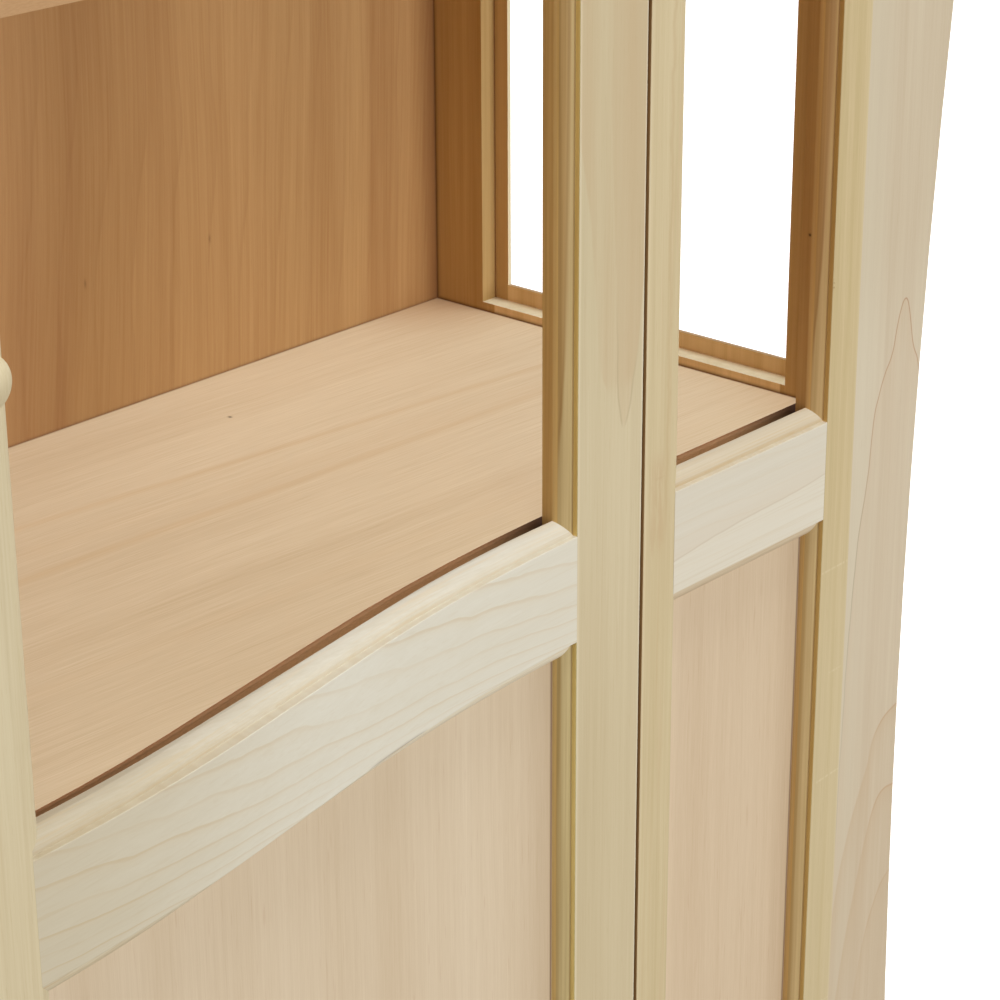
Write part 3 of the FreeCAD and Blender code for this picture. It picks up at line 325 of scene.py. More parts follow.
def yellow():
    """Yellow-green poplar with pale saw scratches across it."""
    n = Net("yellow_poplar")
    x, y, z = n.pos()
    ax = n.absolute(x)
    nx, ny, nz = n.nrm()
    col, f = wood(n, "Z", lin(205, 186, 144), lin(185, 164, 118), 2.0, 0.8, 0.9, 1.0)
    front = n.step(ny, -0.95, -0.7, 1.0, 0.0)
    warp = n.mul(n.sub(n.noise(n.vec(n.mul(z, 0.006), 2.0, 5.0), 1.0, 2.0), 0.5), 8.0)
    # the wood pales towards the foot of the photograph's stretch
    col = n.mix(n.step(z, 950.0, 560.0, 0.0, 0.3), col, lin(204, 190, 156))
    col = n.mix(n.mul(n.line(n.sub(n.add(ax, warp), 822.0), 2.2), 0.25), col, lin(182, 160, 112))
    # pale scratches across the face
    for z0, x0, x1, tilt, a in ((724.0, 804.0, 836.0, -0.02, 0.26), (642.0, 818.0, 834.0, -0.01, 0.2),
                                (557.0, 808.0, 836.0, -0.04, 0.26), (1218.0, 806.0, 828.0, 0.05, 0.2),
                                (364.0, 812.0, 836.0, 0.04, 0.2)):
        d = n.sub(n.sub(z, z0), n.mul(n.sub(ax, x0), -tilt))
        reach = n.mul(n.step(ax, x0 - 1.0, x0 + 2.0), n.step(ax, x1 - 2.0, x1 + 1.0, 1.0, 0.0))
        broken = n.step(n.noise(n.vec(n.mul(ax, 0.35), z0, 1.0), 1.0, 1.0), 0.35, 0.6)
        col = n.mix(n.mul(n.mul(n.mul(n.line(d, 0.8), reach), n.mul(front, broken)), a), col, lin(232, 222, 188))
    # small chips along the moulding's arris
    chip = n.mul(n.band(z, 938.0, 3.0, 2.0), n.band(ax, 804.0, 1.0, 1.5))
    chip = n.mul(chip, n.step(n.noise(n.vec(n.mul(ax, 0.6), 1.0, n.mul(z, 0.6)), 1.0, 2.0), 0.5, 0.6))
    col = n.mix(n.mul(chip, 0.6), col, lin(150, 118, 70))
    p = n.pores("Z", 22.0, 1.2, 0.05)
    col = n.mix(n.mul(p, 0.2), col, (0.78, 0.68, 0.5, 1), "MULTIPLY")
    # painted highlight along the stile's edge by the post
    col = n.mix(n.mul(n.line(n.sub(ax, 836.0), 1.4), 0.25), col, lin(214, 202, 172))
    col = moulded_stile(n, col, 803.6, 4.0, 1.0)
    # nail hole in the rebate's face
    hole = n.mul(n.line(n.sub(z, 973.4), 1.0), n.line(n.sub(y, -129.8), 1.0))
    col = n.mix(hole, col, lin(60, 36, 16))
    return close(n, col, f, 0.62)


def moulded_stile(n, col, edge, seed, dim):
    """Browner inner faces, partly the wood's colour and partly painted shade: a grey-green ovolo between brown
    fillets, with a pale arris on the front edge. dim is how much darker the upper opening's moulding is."""
    x, y, z = n.pos()
    ax = n.absolute(x)
    nx, ny, nz = n.nrm()
    m = inward_shade(n, 0.12, 0.62)
    deep = inward_shade(n, 0.80, 0.97)
    below = n.mul(n.step(ax, edge + 0.3, edge - 0.3), n.step(y, -142.2, -141.4))
    f = n.streak("Z", 0.5, 0.006, seed + 31.0, 2.0)
    b = n.noise(n.vec(n.mul(y, 0.3), seed, n.mul(z, 0.004)), 1.0, 2.0)
    t = n.tone(0.5, (f, 1.1), (b, 1.0))
    shade = n.step(t, 0.2, 0.8, 0.0, 1.0, False)
    ovolo = n.mix(shade, lin(170, 147, 98), lin(189, 170, 121))
    rise = n.mix(shade, lin(174, 144, 94), lin(194, 164, 114))
    brown = n.mix(shade, lin(160, 122, 70), lin(184, 146, 92))
    brown = n.mix(n.step(z, 768.0, 760.0), brown, (1.06, 1.16, 1.26, 1), "MULTIPLY")
    fillet = n.mix(shade, lin(192, 150, 94), lin(210, 172, 114))
    small = n.mix(shade, lin(226, 190, 120), lin(240, 208, 142))
    land = n.mix(shade, lin(190, 146, 82), lin(206, 164, 98))
    whole = n.mx(m, below)
    col = n.mix(whole, col, ovolo)
    # on the ovolo the brown wood of the back runs out in a slanting line, a little way in front of its steep end
    line = n.curve(z, [(100, -136.6), (500, -136.2), (764, -136.4), (850, -134.6), (930, -136.6), (975, -137.9),
                       (1120, -138.9), (1400, -137.2), (1700, -138.4)], 100, 1700, -145, -130)
    line = n.add(line, n.mul(n.sub(b, 0.5), 1.6))
    d = n.sub(y, line)
    col = n.mix(n.mul(below, n.step(y, -140.4, -138.4)), col, rise)
    col = n.mix(n.mul(below, n.step(d, -0.7, 0.7)), col, brown)
    dark = n.step(z, 760.0, 790.0, 0.04, 0.35)
    col = n.mix(n.mul(n.mul(below, n.line(n.sub(d, 0.6), 0.6)), dark), col, lin(132, 98, 52))
    col = n.mix(n.mul(n.mul(below, n.step(y, -134.8, -134.0)), n.step(ax, edge - 9.2, edge - 9.8)), col, land)
    col = n.mix(deep, col, n.mix(n.step(y, -137.0, -139.5), fillet, small))
    # painted shade in the corner at the foot of the small step
    corner = n.mul(n.line(n.sub(ax, edge - 0.9), 0.7), below)
    col = n.mix(n.mul(corner, 0.55), col, lin(132, 98, 48))
    # below the waist the wood is a little paler and greener
    col = n.mix(n.mul(whole, n.step(z, 768.0, 760.0)), col, (1.0, 1.06, 1.12, 1), "MULTIPLY")
    if dim:
        high = n.mul(n.step(z, 830.0, 1010.0, 0.35, 1.0), dim)
        col = n.mix(n.mul(whole, high), col, (0.76, 0.67, 0.55, 1), "MULTIPLY")
    else:
        col = n.mix(deep, col, (1.13, 1.17, 1.15, 1), "MULTIPLY")
        col = n.mix(whole, col, (0.965, 1.04, 1.07, 1), "MULTIPLY")
    return col


def hinge_stile():
    """The wide stile: straight wood with a darker tongue that ends just above the waist rail."""
    n = Net("poplar_hinge_stile")
    x, y, z = n.pos()
    ax = n.absolute(x)
    left = n.step(x, -1.0, 1.0, 1.0, 0.0)
    wx = n.mul(n.sub(n.noise(n.vec(n.mul(z, 0.03), 4.0, n.mul(x, 0.02)), 1.0, 2.0), 0.5), 3.0)
    xx = n.add(ax, wx)
    zz = n.add(z, n.mul(left, -58.0))
    col, f = wood(n, "Z", lin(209, 195, 161), lin(195, 178, 141), 3.0, 0.6, 0.9, 1.0)
    lo_z, hi_z = 897.0, 1097.0
    gl = n.curve(zz, [(897, 581), (903, 577), (912, 570), (921, 567), (944, 557), (990, 552), (1042, 546), (1068, 541), (1097, 534)], lo_z, hi_z, 530, 605)
    gi = n.curve(zz, [(897, 580.5), (911, 577), (929, 575), (946, 574.5), (1000, 572), (1097, 566)], lo_z, hi_z, 530, 605)
    gr = n.curve(zz, [(897, 581), (909, 585.5), (933, 591), (946, 594), (980, 598), (1097, 604)], lo_z, hi_z, 530, 605)
    up = n.step(zz, 897.5, 905.0)
    high = n.step(zz, 1240.0, 1700.0, 1.0, 0.35)
    outer = n.mul(n.mul(n.step(n.sub(xx, gl), -0.3, 2.2), n.step(n.sub(gr, xx), -0.3, 1.2)), n.mul(n.step(zz, 921.0, 936.0), high))
    inner = n.mul(n.mul(n.step(n.sub(xx, gi), -0.2, 1.0), n.step(n.sub(gr, xx), -0.2, 1.0)), n.mul(up, high))
    core = n.streak("Z", 0.11, 0.0028, 61.0, 2.0)
    col = n.mix(n.mul(outer, n.step(core, 0.3, 0.7, 0.25, 0.75)), col, lin(196, 173, 136))
    col = n.mix(n.mul(inner, 0.3), col, lin(192, 167, 130))
    edge = n.mul(n.line(n.sub(xx, gi), 0.7), n.mul(up, n.step(zz, 1000.0, 940.0)))
    edge = n.mx(edge, n.mul(n.line(n.sub(xx, gr), 0.8), n.mul(up, n.step(zz, 960.0, 920.0))))
    col = n.mix(n.mul(edge, 0.42), col, lin(166, 142, 108))
    # faint streaks below the rail's height
    s = n.streak("Z", 0.34, 0.006, 63.0, 2.0)
    col = n.mix(n.mul(n.step(s, 0.58, 0.72), 0.3), col, lin(190, 168, 130))
    col = n.mix(n.step(z, 860.0, 620.0), col, (0.94, 0.92, 0.89, 1), "MULTIPLY")
    col = n.mix(n.step(z, 880.0, 1040.0), col, (0.97, 0.975, 0.96, 1), "MULTIPLY")
    # painted highlights along the arrises
    col = n.mix(n.mul(n.line(n.sub(ax, 599.6), 0.9), 0.75), col, lin(230, 220, 194))
    col = n.mix(n.mul(n.line(n.sub(ax, 537.2), 1.3), 0.45), col, lin(222, 210, 178))
    p = n.pores("Z", 23.0, 1.3, 0.06)
    col = n.mix(n.mul(p, 0.18), col, (0.78, 0.68, 0.55, 1), "MULTIPLY")
    col = moulded_stile(n, col, 536.3, 5.0, 0.0)
    return close(n, col, f, 0.62)


def inner_stile():
    """The narrow stile: yellower, streaky, with a browner flaw at the waist."""
    n = Net("poplar_inner_stile")
    x, y, z = n.pos()
    ax = n.absolute(x)
    wx = n.mul(n.sub(n.noise(n.vec(n.mul(z, 0.04), 6.0, n.mul(x, 0.03)), 1.0, 3.0), 0.5), 7.0)
    xx = n.add(ax, wx)
    col, f = wood(n, "Z", lin(208, 192, 154), lin(192, 172, 130), 4.0, 0.7, 1.1, 1.0)
    s = n.streak("Z", 0.3, 0.005, 65.0, 2.0)
    col = n.mix(n.mul(n.step(s, 0.52, 0.7), 0.45), col, lin(198, 174, 134))
    col = n.mix(n.mul(n.mul(n.line(n.sub(xx, 625.5), 1.6), n.step(z, 800.0, 840.0)), 0.4), col, lin(188, 160, 118))
    ragged = n.noise(n.vec(n.mul(ax, 0.28), 9.0, n.mul(z, 0.035)), 1.0, 3.0, 0.6)
    flaw = n.mul(n.band(n.add(z, n.mul(n.sub(ragged, 0.5), 40.0)), 838.0, 20.0, 22.0), n.band(xx, 616.0, 4.0, 6.0))
    flaw = n.mul(flaw, n.step(ragged, 0.36, 0.56))
    col = n.mix(n.mul(flaw, 0.42), col, lin(190, 160, 122))
    cap = n.mul(n.line(n.sub(z, 853.5), 0.8), n.band(xx, 619.0, 3.5, 2.0))
    col = n.mix(n.mul(cap, 0.14), col, lin(178, 146, 108))
    p = n.pores("Z", 24.0, 1.3, 0.06)
    col = n.mix(n.mul(p, 0.2), col, (0.78, 0.68, 0.52, 1), "MULTIPLY")
    # painted highlight along the arris
    col = n.mix(n.mul(n.line(n.sub(ax, 604.2), 1.2), 0.35), col, lin(222, 206, 170))
    # painted shade: the side towards the door faces into the gap and is darker, most towards the back
    deep = inward_shade(n, 0.6, 0.95)
    col = n.mix(deep, col, n.mix(n.step(y, -140.9, -139.6), lin(172, 136, 92), lin(122, 90, 54)))
    return close(n, col, f, 0.62)


def rail(name, z_low, curved, seed):
    """Cream poplar laid flat: growth lines sharp on one side and soft on the other; the waist rails add a browner
    streak along the moulding. z_low is the height of the face's lower edge."""
    n = Net(name)
    x, y, z = n.pos()
    ax = n.absolute(x)
    nx, ny, nz = n.nrm()
    left = n.step(x, -1.0, 1.0, 1.0, 0.0)
    light, dark = (lin(219, 214, 197), lin(209, 201, 180)) if curved else (lin(215, 208, 190), lin(205, 195, 173))
    base, f = wood(n, "X", light, dark, seed, 0.5, 0.6, 0.7)
    # growth lines
    h = n.sub(z, z_low)
    wob = n.noise(n.vec(n.mul(x, 0.010), seed, n.mul(z, 0.03)), 1.0, 2.0)
    wob2 = n.noise(n.vec(n.mul(x, 0.045), seed + 4.0, n.mul(z, 0.05)), 1.0, 2.0)
    if curved:
        fld = n.div(n.add(n.math("LOGARITHM", n.mx(n.add(h, 24.3), 4.0), math.e), n.mul(ax, 0.0022)), 0.215)
    else:
        fld = n.add(n.mul(h, 0.085), n.mul(ax, 0.004))
    fld = n.add(fld, n.add(n.mul(n.sub(wob, 0.5), 1.0), n.mul(n.sub(wob2, 0.5), 0.18)))
    fld = n.add(fld, n.mul(left, 0.37))
    saw = n.math("FRACT", fld)
    # how clear each line is changes from line to line and along it
    keep = n.noise(n.vec(n.mul(x, 0.004), n.math("FLOOR", fld), seed + 2.0), 1.0, 1.0)
    keep = n.step(keep, 0.34, 0.62, 0.25, 1.0)
    sharp = n.mul(n.step(saw, 0.80, 0.93), n.step(saw, 0.96, 1.0, 1.0, 0.0))
    soft = n.mul(n.step(saw, 0.45, 0.95), n.step(saw, 0.965, 0.995, 1.0, 0.0))
    col = n.mix(n.mul(n.mul(soft, keep), 0.36), base, lin(212, 199, 172))
    col = n.mix(n.mul(n.mul(sharp, keep), 0.46), col, lin(202, 182, 148))
    # fine silver streaks
    s = n.streak("X", 0.5, 0.010, seed + 40.0, 2.0)
    col = n.mix(n.mul(n.step(s, 0.56, 0.70), 0.22), col, lin(206, 193, 166))
    return n, base, col, f


def waist_rail(name, curved, seed, shade):
    n, base, col, f = rail(name, 764.3, curved, seed)
    x, y, z = n.pos()
    nx, ny, nz = n.nrm()
    ax = n.absolute(x)
    if not curved:
        # one long line across the face, and finer ones below it
        pts = [(635, 789.3), (666, 792.6), (690, 794.5), (731, 796.5), (762, 797.4), (784, 798.8), (804, 800.8)]
        g = n.curve(ax, pts, 635, 804, 780, 820)
        w = n.mul(n.sub(n.noise(n.vec(n.mul(x, 0.03), 1.0, 2.0), 1.0, 2.0), 0.5), 2.0)
        d = n.sub(n.add(z, w), g)
        col = n.mix(0.62, col, base)
        col = n.mix(n.mul(n.line(d, 0.7), 0.55), col, lin(188, 170, 140))
        col = n.mix(n.mul(n.mul(n.step(d, 0.0, 26.0, 1.0, 0.0), n.step(d, -0.5, 0.5)), 0.35), col, lin(211, 196, 172))
        col = n.mix(n.mul(n.step(d, 0.3, -0.8), 0.4), col, lin(222, 214, 194))
        s = n.streak("X", 0.55, 0.006, seed + 44.0, 2.0)
        col = n.mix(n.mul(n.mul(n.step(s, 0.5, 0.66), n.step(d, 0.0, -3.0)), 0.4), col, lin(206, 192, 164))
    # the moulding: a cream land, a brown streak in the step's corner and a bright arris at the face
    top = n.step(z, 838.4, 839.2)
    land, lf = wood(n, "X", lin(212, 204, 185), lin(198, 186, 161), seed + 50.0, 1.0, 0.9, 0.7)
    # the land's upward faces are painted darker to offset the overhead light
    facing = n.step(nz, 0.1, 0.95)
    land = n.mix(facing, land, (0.86, 0.86, 0.87, 1), "MULTIPLY")
    fine = n.noise(n.vec(n.mul(x, 0.009), n.mul(z, 0.85), seed + 55.0), 1.0, 2.0)
    land = n.mix(n.step(fine, 0.50, 0.66, 0.0, 0.4), land, lin(200, 180, 146))
    col = n.mix(top, col, land)
    k = n.noise(n.vec(n.mul(x, 0.012), seed, 8.0), 1.0, 3.0)
    k2 = n.noise(n.vec(n.mul(x, 0.08), seed, 18.0), 1.0, 2.0)
    # the step's floor lies in the light, so its wood is darker; a soft tan streak runs in its corner
    ledge = n.mul(n.step(nz, 0.5, 0.9), n.step(z, 840.0, 839.2))
    col = n.mix(ledge, col, n.mix(n.step(k2, 0.3, 0.7), lin(202, 192, 170), lin(195, 182, 158)))
    streak = n.line(n.sub(z, n.add(840.2, n.mul(n.sub(k, 0.5), 2.6))), n.add(0.4, n.mul(k, 1.1)))
    col = n.mix(n.mul(streak, n.step(n.add(k, n.mul(n.sub(k2, 0.5), 0.6)), 0.35, 0.62, 0.1, 0.7)), col, lin(203, 184, 150))
    second = n.line(n.sub(z, n.add(843.6, n.mul(n.sub(k2, 0.5), 2.2))), 0.5)
    col = n.mix(n.mul(second, n.step(k, 0.42, 0.6, 0.0, 0.35)), col, lin(206, 190, 158))
    # painted highlight along the face's lower arris
    low = n.line(n.sub(z, 764.8), 0.6)
    col = n.mix(n.mul(low, 0.4), col, lin(232, 226, 206))
    # painted light: the lower moulding is lighter, as if lit from below, with thin tan lines along it
    under = n.step(z, 764.6, 764.0)
    lines = n.noise(n.vec(n.mul(x, 0.01), n.mul(n.sub(z, y), 0.8), seed + 58.0), 1.0, 2.0)
    col = n.mix(under, col, (1.10, 1.07, 1.02, 1), "MULTIPLY")
    col = n.mix(n.mul(under, n.step(lines, 0.5, 0.62, 0.0, 0.45)), col, lin(206, 184, 150))
    # a short open joint along the door rail's lower edge
    if curved:
        gap = n.mul(n.step(n.absolute(n.sub(x, 354.0)), 34.0, 18.0), n.line(n.sub(z, 764.9), 1.7))
        col = n.mix(n.mul(gap, 0.92), col, lin(112, 82, 46))
    # the bay's moulding and the door rail's inner end are yellower
    if shade:
        col = n.mix(n.mul(top, shade), col, (0.875, 0.80, 0.70, 1), "MULTIPLY")
        corner = n.line(n.sub(z, n.add(840.6, n.mul(n.sub(k, 0.5), 1.6))), 1.2)
        col = n.mix(n.mul(corner, 0.5), col, (0.95, 0.88, 0.76, 1), "MULTIPLY")
        col = n.mix(under, col, (0.85, 0.78, 0.70, 1), "MULTIPLY")
    else:
        col = n.mix(n.step(ax, 320.0, 40.0), col, (0.82, 0.77, 0.68, 1), "MULTIPLY")
    # painted shade: faces that look back or straight down are darker and browner
    col = n.mix(n.step(ny, 0.3, 0.8), col, (0.95, 0.90, 0.83, 1), "MULTIPLY")
    col = n.mix(n.step(nz, -0.85, -0.98), col, (0.90, 0.82, 0.70, 1), "MULTIPLY")
    return close(n, col, f, 0.60)


def other_rail(name, z_low, seed):
    n, base, col, f = rail(name, z_low, False, seed)
    nx, ny, nz = n.nrm()
    # painted shade: faces that look back or down are darker and browner
    col = n.mix(n.step(ny, 0.3, 0.8), col, (0.95, 0.90, 0.83, 1), "MULTIPLY")
    col = n.mix(n.step(nz, -0.2, -0.7), col, (0.86, 0.76, 0.62, 1), "MULTIPLY")
    return close(n, col, f, 0.60)


def deck(name, seed, z_top, edged):
    """Fine straight veneer along the width, in fine light and dark lines with a few browner bands."""
    n = Net(name)
    x, y, z = n.pos()
    nx, ny, nz = n.nrm()
    ax = n.absolute(x)
    drift = n.mul(n.sub(n.noise(n.vec(n.mul(x, 0.004), n.mul(y, 0.01), seed), 1.0, 1.0), 0.5), 10.0)
    yy = n.add(n.add(y, n.mul(ax, 0.055)), drift)
    f = n.noise(n.vec(n.mul(x, 0.012), n.mul(yy, 0.95), seed), 1.0, 2.0, 0.6)
    f2 = n.noise(n.vec(n.mul(x, 0.035), n.mul(yy, 2.1), seed + 3.0), 1.0, 1.0)
    m = n.noise(n.vec(n.mul(x, 0.0035), n.mul(yy, 0.16), seed + 5.0), 1.0, 2.0)
    b = n.noise(n.vec(n.mul(x, 0.0012), n.mul(yy, 0.022), seed + 7.0), 1.0, 1.0)
    t = n.tone(0.5, (f, 1.1), (f2, 0.9), (m, 0.6), (b, 0.6))
    col = n.mix(n.step(t, 0.0, 1.0, 0.0, 1.0, False), lin(190, 164, 127), lin(210, 187, 153))
    pale = n.mix(n.step(t, 0.0, 1.0, 0.0, 1.0, False), lin(201, 175, 138), lin(219, 198, 164))
    col = n.mix(n.step(n.add(ax, n.mul(n.sub(b, 0.5), 200.0)), 260.0, 620.0), col, pale)
    # two browner bands, which drift towards the front edge
    for y0, k, wd, a in ((143.0, -0.11, 3.6, 0.40), (57.0, -0.045, 4.5, 0.36), (-74.0, -0.03, 6.0, 0.12), (100.0, -0.09, 9.0, 0.12)):
        d = n.sub(n.add(y, n.mul(drift, 0.4)), n.add(n.mul(ax, k), y0))
        col = n.mix(n.mul(n.line(d, wd), a), col, lin(196, 162, 118))
    if edged:
        # pin-hole
        hole = n.mul(n.line(n.sub(x, 520.4), 1.2), n.line(n.sub(y, 154.7), 1.5))
        col = n.mix(hole, col, lin(60, 36, 18))
        # pin-hole aside, painted shade: darker and browner at the back corner and along the front by the bay's end;
        # and a dark line in the joints
        corner = n.mul(n.step(ax, 690.0, 806.0), n.step(y, 130.0, 224.0))
        col = n.mix(n.mul(corner, 0.6), col, lin(190, 148, 102))
        front = n.mul(n.step(ax, 724.0, 808.0), n.step(y, -30.0, -128.0))
        col = n.mix(n.mul(front, 0.24), col, lin(166, 122, 80))
        joint = n.mx(n.line(n.sub(y, 224.0), 1.2), n.line(n.sub(ax, 804.0), 1.3))
        col = n.mix(n.mul(joint, 0.75), col, lin(128, 84, 48))
    # the long edges are brown; the deck's edge also carries painted light and shade
    edge = n.step(ny, -0.5, -0.85)
    # painted shade: near-black at the ends of the deck's edge, where the slot in front of it is thin
    dark = n.mul(n.step(ax, 440.0, 540.0), n.step(ax, 600.0, 590.0))
    dark = n.mx(dark, n.step(ax, 700.0, 806.0))
    # painted light: on the deck the edge is lighter towards its foot, to offset the shade deep in the slot
    if edged:
        ec = n.mix(n.step(z, 849.6, 846.2, 0.0, 1.0, False), lin(152, 102, 63), lin(230, 184, 136))
    else:
        ec = lin(186, 146, 100)
    g = n.noise(n.vec(n.mul(x, 0.3), n.mul(z, 1.2), 2.0), 1.0, 2.0)
    ec = n.mix(n.step(g, 0.3, 0.7, 0.0, 0.2), ec, lin(150, 100, 60))
    if edged:
        ec = n.mix(dark, ec, lin(56, 28, 10))
    col = n.mix(edge, col, ec)
    # painted shade: faces that look down are darker and browner
    col = n.mix(n.step(nz, -0.2, -0.7), col, (0.82, 0.70, 0.56, 1), "MULTIPLY")
    return close(n, col, f, 0.58, 0.3, 0.00005)


def veneer(name, light, dark, brown, seed, joints):
    """Upright veneer in broad light and dark bands, with fine lines and a few flecks."""
    n = Net(name)
    x, y, z = n.pos()
    ax = n.absolute(x)
    lean = n.mul(n.sub(n.noise(n.vec(n.mul(x, 0.006), seed, n.mul(z, 0.0016)), 1.0, 1.0), 0.5), 40.0)
    xx = n.add(n.add(x, n.mul(z, -0.045)), lean)
    f = n.noise(n.vec(n.mul(xx, 0.62), n.mul(y, 0.6), n.mul(z, 0.010)), 1.0, 3.0, 0.6)
    m = n.noise(n.vec(n.mul(xx, 0.14), n.mul(y, 0.1), n.add(n.mul(z, 0.0030), seed)), 1.0, 2.0)
    b = n.noise(n.vec(n.mul(xx, 0.024), n.mul(y, 0.1), n.add(n.mul(z, 0.0009), seed * 2.0)), 1.0, 2.0)
    t = n.tone(0.5, (f, 0.75), (m, 0.55), (b, 1.4))
    col = n.mix(n.step(t, 0.0, 1.0, 0.0, 1.0, False), dark, light)
    # flank lines of a cathedral, sharp on their right side
    fl = n.mul(xx, 1.0 / 33.0)
    fl = n.add(fl, n.mul(n.sub(n.noise(n.vec(n.mul(x, 0.004), 1.0, n.mul(z, 0.004)), 1.0, 2.0), 0.5), 1.6))
    saw = n.math("FRACT", fl)
    ln = n.mul(n.step(saw, 0.45, 0.96), n.step(saw, 0.97, 1.0, 1.0, 0.0))
    col = n.mix(n.mul(ln, 0.06), col, brown)
    col = n.mix(n.mul(n.mul(n.step(saw, 0.86, 0.95), n.step(saw, 0.97, 1.0, 1.0, 0.0)), 0.10), col, brown)
    p = n.pores("Z", seed + 30.0, 1.0, 0.05, 0.62, 0.74)
    col = n.mix(n.mul(p, 0.14), col, brown)
    # flecks
    for fx, fz in ((458.0, 946.0), (572.0, 951.0), (-377.0, 1122.0), (231.0, 1388.0), (-640.0, 930.0)):
        k = n.mul(n.line(n.sub(x, fx), 1.0), n.line(n.sub(z, fz), 3.0))
        col = n.mix(n.mul(k, 0.42), col, lin(92, 56, 26))
    # painted shadow: darker towards the cabinet's middle, in place of the stiles' shadow
    col = n.mix(n.step(ax, 655.0, 430.0), col, (0.80, 0.77, 0.70, 1), "MULTIPLY")
    if joints:
        # yellower towards the end, with a paler broad band
        col = n.mix(n.step(ax, 380.0, 470.0), col, (0.975, 0.99, 0.92, 1), "MULTIPLY")
        col = n.mix(n.line(n.sub(ax, 672.0), 75.0), col, (1.045, 1.10, 1.15, 1), "MULTIPLY")
        # painted shade in the corner by the side frame
        col = n.mix(n.mul(n.step(ax, 782.0, 804.0), 0.42), col, lin(134, 82, 46))
        j = n.mx(n.line(n.sub(z, 850.0), 1.3), n.line(n.sub(ax, 804.0), 1.4))
        col = n.mix(n.mul(j, 0.45), col, lin(96, 58, 30))
    return close(n, col, f, 0.6, 0.28, 0.00005)


def panel(name, seed):
    """Pinkish cream veneer with a close, straight, upright grain."""
    n = Net(name)
    x, y, z = n.pos()
    w = n.mul(n.sub(n.noise(n.vec(n.mul(x, 0.01), seed, n.mul(z, 0.002)), 1.0, 1.0), 0.5), 16.0)
    u = n.add(n.add(x, y), w)
    f = n.noise(n.vec(n.mul(u, 0.80), seed, n.mul(z, 0.012)), 1.0, 3.0, 0.65)
    f2 = n.noise(n.vec(n.mul(u, 1.9), seed, n.mul(z, 0.05)), 1.0, 1.0)
    m = n.noise(n.vec(n.mul(u, 0.15), seed + 3.0, n.mul(z, 0.0025)), 1.0, 2.0)
    b = n.noise(n.vec(n.mul(u, 0.018), seed + 6.0, n.mul(z, 0.0010)), 1.0, 1.0)
    t = n.tone(0.5, (f, 0.48), (f2, 0.3), (m, 0.36), (b, 0.7))
    col = n.mix(n.step(t, 0.0, 1.0, 0.0, 1.0, False), lin(193, 169, 135), lin(222, 205, 177))
    pink = n.step(n.add(n.absolute(x), n.mul(n.sub(b, 0.5), 300.0)), 480.0, 640.0)
    col = n.mix(n.mul(pink, 0.75), col, (0.99, 0.955, 0.93, 1), "MULTIPLY")
    fleck = n.mul(n.step(n.streak("Z", 0.5, 0.03, seed + 12.0, 1.0), 0.66, 0.76), 0.2)
    col = n.mix(fleck, col, lin(180, 140, 106))
    # a fine dark line where the panel goes behind the stile's moulding
    ax = n.absolute(x)
    nx, ny, nz = n.nrm()
    front = n.step(ny, -0.5, -0.8)
    # painted shade on the panel's front close to the stiles
    near = n.mx(n.mul(n.step(ax, 480.0, 524.0), n.step(ax, 580.0, 560.0)), n.step(ax, 762.0, 791.0))
    col = n.mix(n.mul(near, front), col, (0.88, 0.855, 0.825, 1), "MULTIPLY")
    joint = n.mx(n.line(n.sub(ax, 524.1), 1.0), n.line(n.sub(ax, 791.3), 1.0))
    col = n.mix(n.mul(n.mul(joint, front), 0.8), col, lin(100, 66, 34))
    return close(n, col, f, 0.58, 0.3, 0.00005)


